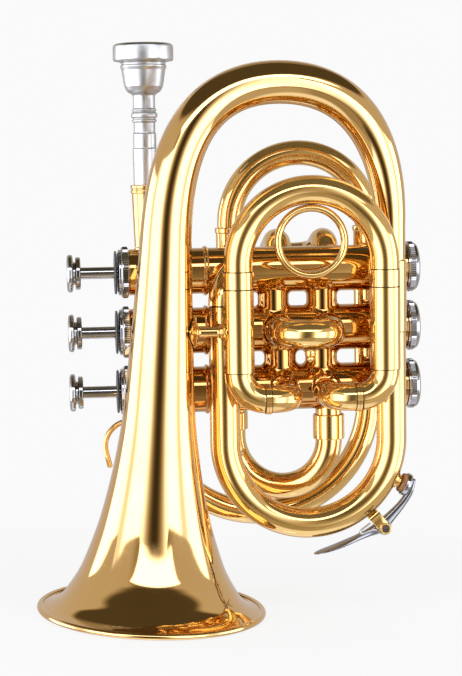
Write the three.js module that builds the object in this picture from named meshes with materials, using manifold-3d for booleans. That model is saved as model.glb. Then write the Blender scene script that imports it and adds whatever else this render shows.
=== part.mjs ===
// Pocket trumpet: piston valves, tapering bell, wound tubing, four slides, a water key and a mouthpiece
// Lengths are millimetres. X runs from the buttons to the bottom caps, Y away from the viewer, Z up.

import * as THREE from 'three';
import { mergeVertices } from 'three/addons/utils/BufferGeometryUtils.js';
import Module from 'manifold-3d';

const wasm = await Module();
wasm.setup();

// Stance: the bell stands upright on its rim, so the valves lean a little

const valveLean = THREE.MathUtils.degToRad(3.27);
const groundDepth = 117.25;
const gap = 0.35;
const wall = 0.5;
const weld = 0.01;

// Valves

const valvePitch = 26;
const casingRadius = 10;
const boreRadius = 9.1;
const pistonRadius = 8.7;
const casingTop = -44;
const casingBottom = 77.2;
const threadRadius = 9.3;
const threadLength = 3;
const capGrip = 9.65;
const valveStroke = 14.5;
const seamRingAt = -11;
const seamRingRadius = 10.9;
const seamRingWidth = 2;
const buttonTop = -71;
const buttonRadius = 8.2;
const buttonThickness = 2.6;
const buttonNeck = 1;
const buttonNeckRadius = 5;
const buttonFootRadius = 7.05;
const buttonFoot = 2.2;
const stemRadius = 2.5;
const felt = 1.1;
const feltRadius = 9.4;
const capTop = -49.2;
const capFace = 1.7;
const capFaceRadius = 9.9;
const capRingRadius = 11.1;
const bottomCapRadius = 10.95;
const bottomCapEnd = 83;
const capPlate = 1.5;
const ventRadius = 2;
const barrelTop = -45.4;
const barrelLid = 1.5;
const barrelWall = 0.8;
const pistonPlate = 1.2;
const guideAt = -20.4;
const guideThickness = 2;
const guideWidth = 4;
const pistonShoulder = -17;
const pistonEnd = 58;
const passageRadius = 3.9;
const portRadius = 4.8;
const springWire = 0.5;
const springRadius = 5.6;
const springCurls = 6;
const sidesOfValve = 14;
const sidesOfTube = 10;
const sidesOfPort = 8;
const sidesOfPassage = 6;
const sidesOfFitting = 12;
const sidesOfRod = 10;
const sidesOfBell = 24;
const sidesOfRing = 6;
const sidesOfWire = 5;
const sidesOfHiddenWire = 4;
const stepsOfPassage = 3;
const stepsOfHiddenCurl = 6;
const stepsOfCurl = 8;
const stepsOfArc = 12;
const stepsOfBow = 10;
const stepsOfReturn = 8;
const stepsOfSmallBow = 6;
const stepsOfElbow = 3;
const stepsOfRing = 20;
const stepsOfBellBow = 7;

// Ports along the casings: where each knuckle and slide meets its valve

const knuckleRadius = 6.8;
const knuckleUpperPorts = [18.9, 40.4];
const lowerKnuckleRadius = 6.2;
const knuckleLowerPorts = [21.6, 39.9];
const firstPorts = [22.6, 43.5];
const secondPorts = [19.6, 41];
const thirdPorts = [21.9, 40.7];
const outletPort = 3;
const inletPort = 42.95;
const passageShift = 1.2;

// Leadpipe side: one plane behind the valves

const leadPlane = 17;
const leadX = -35.3;
const leadRadius = 5.4;
const leadTop = 35.9;
const arcSpring = -35.3;
const leadJoint = -22;
const mouthpieceShift = 0.2;
const rimTop = 125.5;
const rimRadius = 13.3;
const throatRadius = 1.9;
const receiverTop = 63.6;
const receiverRing = 3;
const receiverRadius = 6.4;
const shankTip = 40;
const shankTipRadius = 4.5;
const shankRadius = 5.2;
const tipBore = 3.7;
const tuningNear = 1.9;
const tuningFar = 64;
const arcRadius = (tuningFar - leadX) / 2;
const tuningRadius = 5.5;
const tuningSpring = 45.8;
const tuningOuter = 6.1;
const tuningMouth = 44;
const tuningFoot = -44;
const tuningLegEnd = -10;
const mouthRing = 2.5;
const mouthRingRadius = 6.6;
const returnRadius = 5.8;
const ferruleRadius = 6.95;
const ferruleTop = -38.6;
const ferruleEnd = -49.5;
const nearFerruleEnd = -46.5;

// Bell, bell bow and bell loop

const bellPlane = -28;
const bellFootX = -38.9;
const bellHeight = 158.4;
const bellWall = 0.6;
const rimReach = 47.5;
const beadRadius = 1.35;
const bowStartRadius = 10.9;
const bowCrown = new THREE.Vector3(19.5, -22.5, 106.2);
const bowSlope = 0.1127;
const bowHandleShare = 0.65;
const bowStraight = 44;
const bowCrownRadius = 9.15;
const loopPlane = -17;
const loopNear = -5;
const loopFar = 67.8;
const loopRadius = 6.5;
const loopTop = 11.5;
const loopSpring = -47.4;
const sleeveRadius = 6.9;
const sleeveTop = 29.8;
const sleeveEnd = -0.9;
const sleeveMiddle = 14;
const spigotRadius = 6;
const bowSpigot = 5.65;
const elbowRadius = 12.5;
const elbowAngle = THREE.MathUtils.degToRad(50);

// Third slide

const thirdPlane = -31;
const thirdNear = 0;
const thirdFar = 62.6;
const thirdRadius = 6.1;
const thirdSpring = 30;
const thirdLegRadius = 5.6;
const thirdLegEnd = -12;
const thirdOuter = 6.55;
const thirdSleeveTop = 26.9;
const thirdMouth = 19.2;
const thirdFoot = -15.6;
const thirdElbow = 11.4;
const thirdElbowRadius = 5.9;
const thirdTurn = 9;
const fingerRing = 14.2;
const fingerWire = 1.6;

// Second slide

const secondOuter = 6.4;
const secondRadius = 6.1;
const secondLegRadius = 5.5;
const secondMouth = -20;
const secondLegEnd = -11.2;
const knobRadius = 2.85;
const knobLength = 5.2;

// First slide

const firstLift = THREE.MathUtils.degToRad(45);
const firstDrop = THREE.MathUtils.degToRad(17);
const firstStart = 12.25;
const firstTurn = 9;
const firstOuter = 5.9;
const firstRadius = 5.6;
const firstLegRadius = 5;
const firstOuterLength = 12;
const firstLegLength = 10.5;

// Fittings

const braceHeight = 1.8;
const braceRod = 1.85;
const braceBellTall = 13.3;
const braceLoopTall = 9.4;
const flangeThickness = 1;
const flangeWidth = 7;
const hookWire = 1.2;
const hookHeading = THREE.MathUtils.degToRad(25);
const hookAngle = THREE.MathUtils.degToRad(77);
const hookReach = 14;
const hookBend = 5;
const hookTip = 13;
const hookAt = THREE.MathUtils.degToRad(8);
const keyStandoff = 7.4;
const keyPivotAngle = THREE.MathUtils.degToRad(-50.4);
const keyCorkAngle = THREE.MathUtils.degToRad(-26.2);
const keyTipAngle = THREE.MathUtils.degToRad(-88);
const keyThickness = 1.5;
const keyWidth = 4.4;
const thumbWidth = 9;
const thumbAngle = THREE.MathUtils.degToRad(-70);
const barrelRadius = 2.5;
const pinRadius = 1.1;
const screwHead = 2.4;
const earThickness = 1.2;
const nippleRadius = 2.4;
const nippleHole = 1.4;
const nippleTall = 1.6;
const corkRadius = 3.4;
const corkTall = 2.2;
const cupRadius = 4.1;
const keyWire = 0.35;
const keyCurls = 2;
const keyPitch = 1.2;
const keyLeg = 6;

// Outlines as shares: of the rim's radius and of the height from the receiver to the rim

const mouthpieceShares = [
  [0.406, 0.252], [0.383, 0.262], [0.383, 0.363], [0.357, 0.373], [0.357, 0.441], [0.414, 0.452],
  [0.368, 0.465], [0.436, 0.494], [0.368, 0.517], [0.414, 0.53], [0.365, 0.541], [0.365, 0.622],
  [0.398, 0.64], [0.564, 0.664], [0.654, 0.711], [0.729, 0.813], [0.767, 0.84], [0.729, 0.85],
  [0.744, 0.866], [0.97, 0.876], [1, 0.895], [1, 0.973], [0.917, 0.994], [0.782, 1],
];
const cupShares = [[0.669, 0.987], [0.617, 0.958], [0.594, 0.903], [0.496, 0.847], [0.316, 0.805]];
const throatShares = [0.785, 0.717];

// The bell's flare, as shares of its rim and of its height; the knob, of its own radius and length
const flareShares = [
  [0.952, 0.013], [0.884, 0.021], [0.811, 0.038], [0.756, 0.063], [0.686, 0.095], [0.634, 0.126],
  [0.552, 0.189], [0.493, 0.253], [0.415, 0.347], [0.358, 0.442], [0.32, 0.537], [0.291, 0.694],
  [0.257, 0.852],
];
const knobShares = [
  [0.5, 1], [0.95, 0.88], [1, 0.72], [0.88, 0.56], [0.55, 0.4], [0.5, 0.2], [0.8, 0.08], [0.8, 0],
];

// Materials

function finish(colour, roughness, metalness) {
  return () => new THREE.MeshStandardMaterial({ color: colour, roughness, metalness });
}
const lacquer = finish(0xd9a441, 0.22, 1);
const silver = finish(0xc9ccd0, 0.2, 1);
const blackFelt = finish(0x141414, 0.95, 0);
const cork = finish(0x8a5a33, 0.85, 0);
const springSteel = finish(0xb8b8b4, 0.35, 1);

// Solids: every shape passes through one closed solid before it becomes a mesh

const unitX = new THREE.Vector3(1, 0, 0);
const unitY = new THREE.Vector3(0, 1, 0);
const unitZ = new THREE.Vector3(0, 0, 1);

function asSolid(geometry) {
  geometry.deleteAttribute('normal');
  geometry.deleteAttribute('uv');
  const merged = mergeVertices(geometry);
  const index = merged.index.array;
  const corners = [];
  for (let i = 0; i < index.length; i += 3) {
    const [a, b, c] = index.slice(i, i + 3);
    if (a !== b && b !== c && c !== a) corners.push(a, b, c);
  }
  const mesh = new wasm.Mesh({
    numProp: 3,
    vertProperties: new Float32Array(merged.attributes.position.array),
    triVerts: new Uint32Array(corners),
  });
  return new wasm.Manifold(mesh);
}

function asGeometry(solid) {
  const mesh = solid.simplify(weld).getMesh();
  const geometry = new THREE.BufferGeometry();
  geometry.setAttribute('position', new THREE.BufferAttribute(mesh.vertProperties, 3));
  geometry.setIndex(new THREE.BufferAttribute(mesh.triVerts, 1));
  geometry.computeVertexNormals();
  return geometry;
}

function place(parent, name, solid, material) {
  const mesh = new THREE.Mesh(asGeometry(solid), material());
  mesh.name = name;
  parent.add(mesh);
  return mesh;
}

function group(parent, name, x, y, z) {
  const made = new THREE.Group();
  made.name = name;
  made.position.set(x, y, z);
  parent.add(made);
  return made;
}

// A turned form: its outline is pairs of radius and distance along the axis
function turned(outline, sides, axis) {
  const points = outline.map(([radius, along]) => new THREE.Vector2(radius, along));
  const geometry = new THREE.LatheGeometry(points, sides);
  if (axis === unitX) geometry.rotateZ(-Math.PI / 2);
  if (axis === unitZ) geometry.rotateX(Math.PI / 2);
  return asSolid(geometry);
}

function closed(outline) {
  return [...outline, outline[0]];
}

function rod(radius, from, to, sides, axis) {
  return turned([[0, from], [radius, from], [radius, to], [0, to]], sides, axis);
}

function pipe(outer, inner, from, to, sides, axis) {
  return turned(closed([[inner, from], [outer, from], [outer, to], [inner, to]]), sides, axis);
}

function block(width, depth, height) {
  return asSolid(new THREE.BoxGeometry(width, depth, height));
}

// A cut can leave a scrap beyond the casing: the piece nearest to the given point is kept
function nearest(solid, point) {
  const distance = (part) => {
    const { min, max } = part.boundingBox();
    const centre = new THREE.Vector3(...min).add(new THREE.Vector3(...max)).divideScalar(2);
    return centre.distanceTo(point);
  };
  return solid.decompose().sort((a, b) => distance(a) - distance(b))[0];
}

// A route for a tube: stations along straights and bends
class Route {
  constructor(start, heading, side) {
    this.at = start.clone();
    this.heading = heading.clone().normalize();
    this.side = side.clone().normalize();
    this.stations = [];
    this.mark();
  }

  mark() {
    this.stations.push({
      centre: this.at.clone(),
      side: this.side.clone(),
      lift: new THREE.Vector3().crossVectors(this.heading, this.side),
      heading: this.heading.clone(),
    });
    return this;
  }

  go(length) {
    this.at.addScaledVector(this.heading, length);
    return this.mark();
  }

  bend(radius, angle, toward, steps) {
    const axis = new THREE.Vector3().crossVectors(this.heading, toward).normalize();
    const hub = this.at.clone().addScaledVector(toward, radius);
    for (let i = 0; i < steps; i += 1) {
      this.at.sub(hub).applyAxisAngle(axis, angle / steps).add(hub);
      this.heading.applyAxisAngle(axis, angle / steps);
      this.side.applyAxisAngle(axis, angle / steps);
      this.mark();
    }
    return this;
  }

  follow(curve, steps) {
    for (let i = 1; i <= steps; i += 1) {
      const next = curve.getTangentAt(i / steps);
      const turn = new THREE.Quaternion().setFromUnitVectors(this.heading, next);
      this.heading.copy(next);
      this.side.applyQuaternion(turn);
      this.at.copy(curve.getPointAt(i / steps));
      this.mark();
    }
    return this;
  }
}

// One closed skin through rings of points, its ends closed flat or its inside left open
function skin(rings, hollow) {
  const sides = rings[0].length;
  const positions = rings.flat().flatMap((point) => point.toArray());
  const corners = [];
  const last = hollow ? rings.length : rings.length - 1;
  for (let i = 0; i < last; i += 1) {
    const here = i * sides;
    const next = ((i + 1) % rings.length) * sides;
    for (let k = 0; k < sides; k += 1) {
      const k2 = (k + 1) % sides;
      corners.push(here + k, here + k2, next + k2, here + k, next + k2, next + k);
    }
  }
  if (!hollow) {
    const end = (rings.length - 1) * sides;
    for (let k = 1; k < sides - 1; k += 1) {
      corners.push(0, k + 1, k, end, end + k, end + k + 1);
    }
  }
  const geometry = new THREE.BufferGeometry();
  geometry.setAttribute('position', new THREE.BufferAttribute(new Float32Array(positions), 3));
  geometry.setIndex(corners);
  return asSolid(geometry);
}

function ring(station, radius, sides) {
  const points = [];
  for (let k = 0; k < sides; k += 1) {
    const angle = (2 * Math.PI * k) / sides;
    const point = station.centre.clone();
    point.addScaledVector(station.side, radius * Math.cos(angle));
    point.addScaledVector(station.lift, radius * Math.sin(angle));
    points.push(point);
  }
  return points;
}

// A tube along a route; outside and inside give the radius at each station, or one for all
function tube(route, outside, inside, sides = sidesOfTube) {
  const radiusAt = (radius, i) => (Array.isArray(radius) ? radius[i] : radius);
  const outer = route.stations.map((station, i) => ring(station, radiusAt(outside, i), sides));
  if (inside === 0) return skin(outer, false);
  const inner = route.stations.map((station, i) => ring(station, radiusAt(inside, i), sides));
  return skin([...outer, ...inner.reverse()], true);
}

// The bore follows the outside, a wall's thickness under the narrower of the stations beside it
function boreOf(outside) {
  return outside.map((size, i) => Math.min(...outside.slice(Math.max(i - 1, 0), i + 2)) - wall);
}

const instrument = new THREE.Group();
instrument.name = 'pocket_trumpet';
instrument.rotation.y = -valveLean;

// Valves: casing, caps, ported piston, guide, spring, felt and button

const stemTop = buttonTop + buttonThickness + buttonNeck;
const buttonUnder = stemTop + buttonFoot;
const valveHeights = [valvePitch, 0, -valvePitch];

function compass(degrees) {
  const angle = THREE.MathUtils.degToRad(degrees);
  return new THREE.Vector3(0, Math.cos(angle), Math.sin(angle));
}
const above = compass(90);
const below = compass(-90);
const front = compass(180);
const farAbove = compass(45);

// Each passage of a piston runs from one hole to another through the middle
function passage([fromX, fromWay], [toX, toWay], radius) {
  const reach = casingRadius;
  const start = new THREE.Vector3(fromX, 0, 0).addScaledVector(fromWay, reach);
  const end = new THREE.Vector3(toX, 0, 0).addScaledVector(toWay, reach);
  const middle = new THREE.Vector3((fromX + toX) / 2, 0, 0);
  const curve = new THREE.QuadraticBezierCurve3(start, middle, end);
  const route = new Route(start, curve.getTangentAt(0), new THREE.Vector3().crossVectors(
    curve.getTangentAt(0), Math.abs(curve.getTangentAt(0).x) > 0.9 ? unitY : unitX));
  return tube(route.follow(curve, stepsOfPassage), radius, 0, sidesOfPassage);
}

const ports = [
  [...knuckleUpperPorts.map((x) => [x, below]), [outletPort, front],
    ...firstPorts.map((x) => [x, farAbove])],
  [...knuckleUpperPorts.map((x) => [x, above]), ...knuckleLowerPorts.map((x) => [x, below]),
    ...secondPorts.map((x) => [x, front])],
  [...knuckleLowerPorts.map((x) => [x, above]), [inletPort, below], ...thirdPorts.map((x) => [x, front])],
];

const passages = [
  [
    [[knuckleUpperPorts[0] - passageShift, below], [outletPort, front]],
    [[knuckleUpperPorts[1] - valveStroke + passageShift, below], [firstPorts[1] - valveStroke, farAbove]],
    [[firstPorts[0] - valveStroke, farAbove], [outletPort - valveStroke, front]],
  ],
  [
    [[knuckleLowerPorts[1], below], [knuckleUpperPorts[1], above]],
    [[knuckleLowerPorts[1] - valveStroke, below], [secondPorts[1] - valveStroke, front]],
    [[secondPorts[0] - valveStroke, front], [knuckleUpperPorts[1] - valveStroke, above]],
  ],
  [
    [[inletPort, below], [knuckleLowerPorts[1], above]],
    [[inletPort - valveStroke, below], [thirdPorts[1] - valveStroke, front]],
    [[thirdPorts[0] - valveStroke, front], [knuckleLowerPorts[1] - valveStroke, above]],
  ],
];

function portCutter([x, way]) {
  const start = new THREE.Vector3(x, 0, 0).addScaledVector(way, stemRadius);
  const route = new Route(start, way, unitX);
  return tube(route.go(casingRadius), portRadius, 0, sidesOfPort);
}

function casing(number) {
  const ringFrom = seamRingAt - seamRingWidth / 2;
  const ringTo = seamRingAt + seamRingWidth / 2;
  const shell = turned(closed([
    [boreRadius, casingTop - threadLength],
    [threadRadius, casingTop - threadLength],
    [threadRadius, casingTop],
    [casingRadius, casingTop],
    [casingRadius, ringFrom],
    [seamRingRadius, ringFrom],
    [seamRingRadius, ringTo],
    [casingRadius, ringTo],
    [casingRadius, casingBottom],
    [threadRadius, casingBottom],
    [threadRadius, casingBottom + threadLength],
    [boreRadius, casingBottom + threadLength],
  ]), sidesOfValve, unitX);
  return ports[number].reduce((solid, port) => solid.subtract(portCutter(port)), shell);
}

function topCap() {
  const under = casingTop - threadLength - gap;
  return turned(closed([
    [stemRadius + gap, capTop],
    [capFaceRadius, capTop],
    [capFaceRadius, capTop + capFace],
    [capRingRadius, capTop + capFace],
    [capRingRadius, casingTop - gap],
    [capGrip, casingTop - gap],
    [capGrip, under],
    [stemRadius + gap, under],
  ]), sidesOfValve, unitX);
}

function bottomCap() {
  return turned(closed([
    [ventRadius, bottomCapEnd - capPlate],
    [capGrip, bottomCapEnd - capPlate],
    [capGrip, casingBottom + gap],
    [bottomCapRadius, casingBottom + gap],
    [bottomCapRadius, bottomCapEnd],
    [ventRadius, bottomCapEnd],
  ]), sidesOfValve, unitX);
}

function piston(number) {
  const inner = pistonRadius - barrelWall;
  let solid = turned([
    [0, stemTop + gap],
    [stemRadius, stemTop + gap],
    [stemRadius, barrelTop],
    [pistonRadius, barrelTop],
    [pistonRadius, pistonEnd],
    [0, pistonEnd],
  ], sidesOfValve, unitX);
  solid = solid.subtract(rod(inner, barrelTop + barrelLid, pistonShoulder, sidesOfValve, unitX));
  const slotFrom = guideAt - valveStroke - gap;
  const slotLength = pistonShoulder - slotFrom;
  const slot = block(slotLength, 3 * pistonRadius, guideWidth + 2 * gap);
  solid = solid.subtract(slot.translate([slotFrom + slotLength / 2, 0, 0]));
  const lined = (cavity, ends) => cavity.subtract(passage(...ends, passageRadius + wall));
  const cavity = rod(inner, pistonShoulder + pistonPlate, pistonEnd - pistonPlate, sidesOfValve, unitX);
  solid = solid.subtract(passages[number].reduce(lined, cavity));
  solid = solid.subtract(rod(ventRadius, pistonEnd - 2 * pistonPlate, pistonEnd + gap, sidesOfPort, unitX));
  return passages[number].reduce((body, ends) => body.subtract(passage(...ends, passageRadius)), solid);
}

function guide() {
  const disc = rod(springRadius + 2 * springWire, 0, guideThickness, sidesOfValve, unitX);
  const arm = block(guideThickness, 2 * pistonRadius - gap, guideWidth);
  return disc.add(arm.translate([guideThickness / 2, 0, 0])).translate([guideAt, 0, 0]);
}

function button() {
  const neckFrom = buttonTop + buttonThickness;
  return turned([
    [0, buttonTop],
    [buttonRadius - 2 * gap, buttonTop],
    [buttonRadius, buttonTop + gap],
    [buttonRadius, neckFrom],
    [buttonNeckRadius, neckFrom],
    [buttonNeckRadius, stemTop],
    [buttonFootRadius, stemTop],
    [buttonFootRadius, buttonUnder],
    [stemRadius + gap, buttonUnder],
    [stemRadius + gap, stemTop],
    [0, stemTop],
  ], sidesOfValve, unitX);
}

function valveSpring() {
  const from = barrelTop + barrelLid + gap + springWire;
  const to = guideAt - gap - springWire;
  const route = coil(springRadius, from, to, springCurls, stepsOfHiddenCurl);
  return tube(route, springWire, 0, sidesOfHiddenWire);
}

// A coil about X: the sides of its rings keep pointing away from its axis
function coil(radius, from, to, curls, steps) {
  const route = { stations: [] };
  const rise = (to - from) / (curls * steps);
  const turnLength = (2 * Math.PI * radius) / steps;
  for (let i = 0; i <= curls * steps; i += 1) {
    const angle = (2 * Math.PI * i) / steps;
    const side = new THREE.Vector3(0, Math.cos(angle), Math.sin(angle));
    const heading = new THREE.Vector3(rise, -turnLength * Math.sin(angle), turnLength * Math.cos(angle));
    heading.normalize();
    const lift = new THREE.Vector3().crossVectors(heading, side);
    const centre = side.clone().multiplyScalar(radius).setX(from + rise * i);
    route.stations.push({ centre, side, lift, heading });
  }
  return route;
}

valveHeights.forEach((height, number) => {
  const label = number + 1;
  const valve = group(instrument, `valve_${label}`, 0, 0, height);
  place(valve, `casing_${label}`, casing(number), lacquer);
  place(valve, `top_cap_${label}`, topCap(), silver);
  place(valve, `bottom_cap_${label}`, bottomCap(), silver);
  place(valve, `piston_${label}`, piston(number), silver);
  place(valve, `valve_guide_${label}`, guide(), lacquer);
  place(valve, `valve_spring_${label}`, valveSpring(), springSteel);
  const feltTop = capTop - gap - felt;
  place(valve, `felt_${label}`, pipe(feltRadius, stemRadius + gap, feltTop, capTop - gap,
    sidesOfValve, unitX), blackFelt);
  place(valve, `button_${label}`, button(), silver);
});

function casingCutter(height) {
  const length = casingBottom - casingTop;
  const cutter = rod(casingRadius + gap, casingTop, casingTop + length, 2 * sidesOfValve, unitX);
  return cutter.translate([0, 0, height]);
}

// Knuckles: short tubes that join one casing to the next

function knuckle(x, radius, upper, lower) {
  const body = pipe(radius, portRadius, lower, upper, sidesOfTube, unitZ).translate([x, 0, 0]);
  return body.subtract(casingCutter(upper)).subtract(casingCutter(lower));
}

const knuckles = group(instrument, 'knuckles', 0, 0, 0);
knuckleUpperPorts.forEach((x, i) => {
  place(knuckles, `knuckle_12_${i + 1}`, knuckle(x, knuckleRadius, valvePitch, 0), lacquer);
});
knuckleLowerPorts.forEach((x, i) => {
  place(knuckles, `knuckle_23_${i + 1}`, knuckle(x, lowerKnuckleRadius, 0, -valvePitch), lacquer);
});

// Mouthpiece: cup, throat and backbore inside, beads and shank outside

const leadSide = group(instrument, 'leadpipe_side', 0, leadPlane, 0);

const mouthpieceAt = ([across, along]) => [rimRadius * across, receiverTop + (rimTop - receiverTop) * along];
const mouthpieceOutline = [
  [tipBore, shankTip],
  [shankTipRadius, shankTip],
  [shankRadius, receiverTop],
  ...[...mouthpieceShares, ...cupShares].map(mouthpieceAt),
  ...throatShares.map((along) => [throatRadius, mouthpieceAt([0, along])[1]]),
];
const mouthpiece = turned(closed(mouthpieceOutline), sidesOfValve, unitZ);
place(group(leadSide, 'mouthpiece_place', leadX + mouthpieceShift, 0, 0), 'mouthpiece', mouthpiece, silver);

// Receiver: a tapered socket for the shank

const receiverEnd = leadTop + gap;
const receiver = turned(closed([
  [leadRadius - wall, receiverEnd],
  [leadRadius, receiverEnd],
  [receiverRadius, receiverTop - receiverRing],
  [receiverRadius + gap, receiverTop - receiverRing],
  [receiverRadius + gap, receiverTop],
  [shankRadius + gap, receiverTop],
  [shankTipRadius + gap, shankTip],
]), sidesOfValve, unitZ);
const receiverPlace = group(leadSide, 'receiver_place', leadX + mouthpieceShift, 0, 0);
place(receiverPlace, 'mouthpiece_receiver', receiver, lacquer);

// Leadpipe: down the left, round the big arc and up to the tuning slide

const down = new THREE.Vector3(0, 0, -1);
const leftward = new THREE.Vector3(-1, 0, 0);
const leadRoute = new Route(new THREE.Vector3(leadX, 0, leadTop), down, unitY);
leadRoute.go(leadTop - arcSpring).bend(arcRadius, Math.PI, unitX, stepsOfArc).go(leadJoint - arcSpring);
place(leadSide, 'leadpipe', tube(leadRoute, leadRadius, leadRadius - wall), lacquer);

// Tuning slide: two fixed outer tubes and a bow that draws upward

function outerTube(mouth, foot) {
  return turned(closed([
    [tuningOuter - wall, foot],
    [tuningOuter, foot],
    [tuningOuter, mouth - mouthRing],
    [mouthRingRadius, mouth - mouthRing],
    [mouthRingRadius, mouth],
    [tuningOuter - wall, mouth],
  ]), sidesOfTube, unitZ);
}
const nearTube = group(leadSide, 'tuning_near', tuningNear, 0, 0);
place(nearTube, 'tuning_outer_near', outerTube(tuningMouth, tuningFoot), lacquer);
const farTube = group(leadSide, 'tuning_far', tuningFar, 0, 0);
place(farTube, 'tuning_outer_far', outerTube(tuningMouth, leadJoint + gap), lacquer);

// The bow is full size outside the tubes and steps down to its legs inside them
function slideBow(start, heading, toward, span, side, sizes) {
  const { legLength, legRadius, radius, stub, collar, collarRadius, steps } = sizes;
  const route = new Route(start, heading, side);
  route.go(legLength).go(0).go(collar).go(0).go(stub);
  route.bend(span / 2, Math.PI, toward, steps);
  route.go(stub).go(0).go(collar).go(0).go(legLength);
  const bend = Array(steps - 1).fill(radius);
  const outside = [legRadius, legRadius, collarRadius, collarRadius, radius, radius];
  const outer = [...outside, ...bend, ...[...outside].reverse()];
  return tube(route, outer, boreOf(outer));
}

const tuningBow = slideBow(new THREE.Vector3(tuningNear, 0, tuningLegEnd), unitZ, unitX,
  tuningFar - tuningNear, unitY, {
    legLength: tuningMouth + gap - tuningLegEnd,
    legRadius: tuningOuter - wall - gap,
    radius: tuningRadius,
    stub: tuningSpring - tuningMouth - gap,
    collar: 0,
    collarRadius: tuningRadius,
    steps: stepsOfBow,
  });
place(leadSide, 'tuning_bow', tuningBow, lacquer);

// Return bow: from the tuning slide down, under and into the third valve, with its ferrule

const returnWay = new THREE.Vector3(inletPort - tuningNear, -leadPlane, 0);
const returnSpan = returnWay.length();
returnWay.normalize();
const returnRoute = new Route(new THREE.Vector3(tuningNear, 0, tuningFoot - gap), down,
  new THREE.Vector3().crossVectors(down, returnWay));
returnRoute.go(tuningFoot - gap - ferruleEnd).bend(returnSpan / 2, Math.PI, returnWay, stepsOfReturn);
returnRoute.go(-valvePitch - ferruleEnd);
const returnTube = tube(returnRoute, returnRadius, returnRadius - wall);
const thirdCasing = casingCutter(-valvePitch).translate([0, -leadPlane, 0]);
place(leadSide, 'return_bow', returnTube.subtract(thirdCasing), lacquer);
place(nearTube, 'return_ferrule',
  pipe(ferruleRadius, tuningOuter + gap, nearFerruleEnd, ferruleTop, sidesOfTube, unitZ), lacquer);
place(group(instrument, 'inlet_place', inletPort, 0, 0), 'inlet_ferrule',
  pipe(ferruleRadius, tuningOuter + gap, ferruleEnd, ferruleTop, sidesOfTube, unitZ), lacquer);

// Bell: a flare that turns ever faster to the rim, with a rolled bead

const bell = group(instrument, 'bell_place', bellFootX, bellPlane, -groundDepth);
bell.rotation.y = valveLean;
const flare = flareShares.map(([across, along]) => [rimReach * across, bellHeight * along]);
flare.push([bowStartRadius, bellHeight]);
const rimOutline = [];
const beadStep = Math.PI / 4;
const beadHeight = beadRadius * Math.cos(beadStep / 2);
for (let i = 0; i < 6; i += 1) {
  const angle = (i - 3.5) * beadStep;
  rimOutline.push([rimReach + beadRadius * Math.cos(angle), beadHeight + beadRadius * Math.sin(angle)]);
}
const flareOutside = flare.map(([radius, height]) => [radius, height + bellWall]);
const flareInside = flare.filter((point, i) => i < 4 || i % 2 === 1)
  .map(([radius, height]) => [radius - bellWall, height]).reverse();
const bellSolid = turned(closed([...rimOutline, ...flareOutside, ...flareInside]), sidesOfBell, unitZ);
place(bell, 'bell', bellSolid, lacquer);

function flareRadiusAt(height) {
  const upper = flare.findIndex(([, along]) => along + bellWall > height);
  const [wide, low] = flare[upper - 1];
  const [narrow, high] = flare[upper];
  return THREE.MathUtils.mapLinear(height - bellWall, low, high, wide, narrow);
}

// Bell bow: one taper from the bell over the top and down to the loop

const bellEnd = new THREE.Vector3(
  bellFootX + (bellHeight + 2 * gap + bellWall) * Math.sin(valveLean),
  bellPlane,
  (bellHeight + 2 * gap + bellWall) * Math.cos(valveLean) - groundDepth,
);
const bellHeading = new THREE.Vector3(Math.sin(valveLean), 0, Math.cos(valveLean));
const crownHeading = new THREE.Vector3(1, bowSlope, 0).normalize();
const bowEnd = new THREE.Vector3(loopFar, loopPlane, bowStraight);
const rise = (bowCrown.z - bellEnd.z) * bowHandleShare;
const reach = (bowCrown.x - bellEnd.x) * bowHandleShare;
const fall = (bowCrown.z - bowEnd.z) * bowHandleShare;
const farReach = (bowEnd.x - bowCrown.x) * bowHandleShare;
const risingBow = new THREE.CubicBezierCurve3(
  bellEnd,
  bellEnd.clone().addScaledVector(bellHeading, rise),
  bowCrown.clone().addScaledVector(crownHeading, -reach),
  bowCrown,
);
const fallingBow = new THREE.CubicBezierCurve3(
  bowCrown,
  bowCrown.clone().addScaledVector(crownHeading, farReach),
  bowEnd.clone().addScaledVector(unitZ, fall),
  bowEnd,
);
const bowSide = new THREE.Vector3().crossVectors(bellHeading, unitX).normalize();
const bowRoute = new Route(bellEnd, bellHeading, bowSide);
bowRoute.follow(risingBow, stepsOfBellBow).follow(fallingBow, stepsOfBellBow);
bowRoute.go(bowStraight - sleeveTop - gap).go(0).go(sleeveTop - sleeveMiddle);
const bowStations = bowRoute.stations.length;
const bowOutside = bowRoute.stations.map((station, i) => {
  const share = i / stepsOfBellBow;
  if (i >= bowStations - 2) return bowSpigot;
  if (share <= 1) return bowStartRadius + (bowCrownRadius - bowStartRadius) * Math.sqrt(share);
  return bowCrownRadius + (loopRadius - bowCrownRadius) * Math.min(share - 1, 1) ** 2;
});
place(instrument, 'bell_bow', tube(bowRoute, bowOutside, boreOf(bowOutside)), lacquer);

// Bell loop: up from the sleeve's inside, down, round the bottom and up to the elbow

const bellLoop = group(instrument, 'bell_loop_place', 0, loopPlane, 0);
const loopRoute = new Route(new THREE.Vector3(loopFar, 0, sleeveMiddle - gap), down, unitY);
loopRoute.go(sleeveMiddle - sleeveEnd).go(0).go(sleeveEnd - gap - loopSpring);
loopRoute.bend((loopFar - loopNear) / 2, Math.PI, leftward, stepsOfBow).go(loopTop - loopSpring);
const loopOutside = loopRoute.stations.map((station, i) => (i < 2 ? spigotRadius : loopRadius));
let loopTube = tube(loopRoute, loopOutside, boreOf(loopOutside));

// Water key nipple, brazed to the loop

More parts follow.
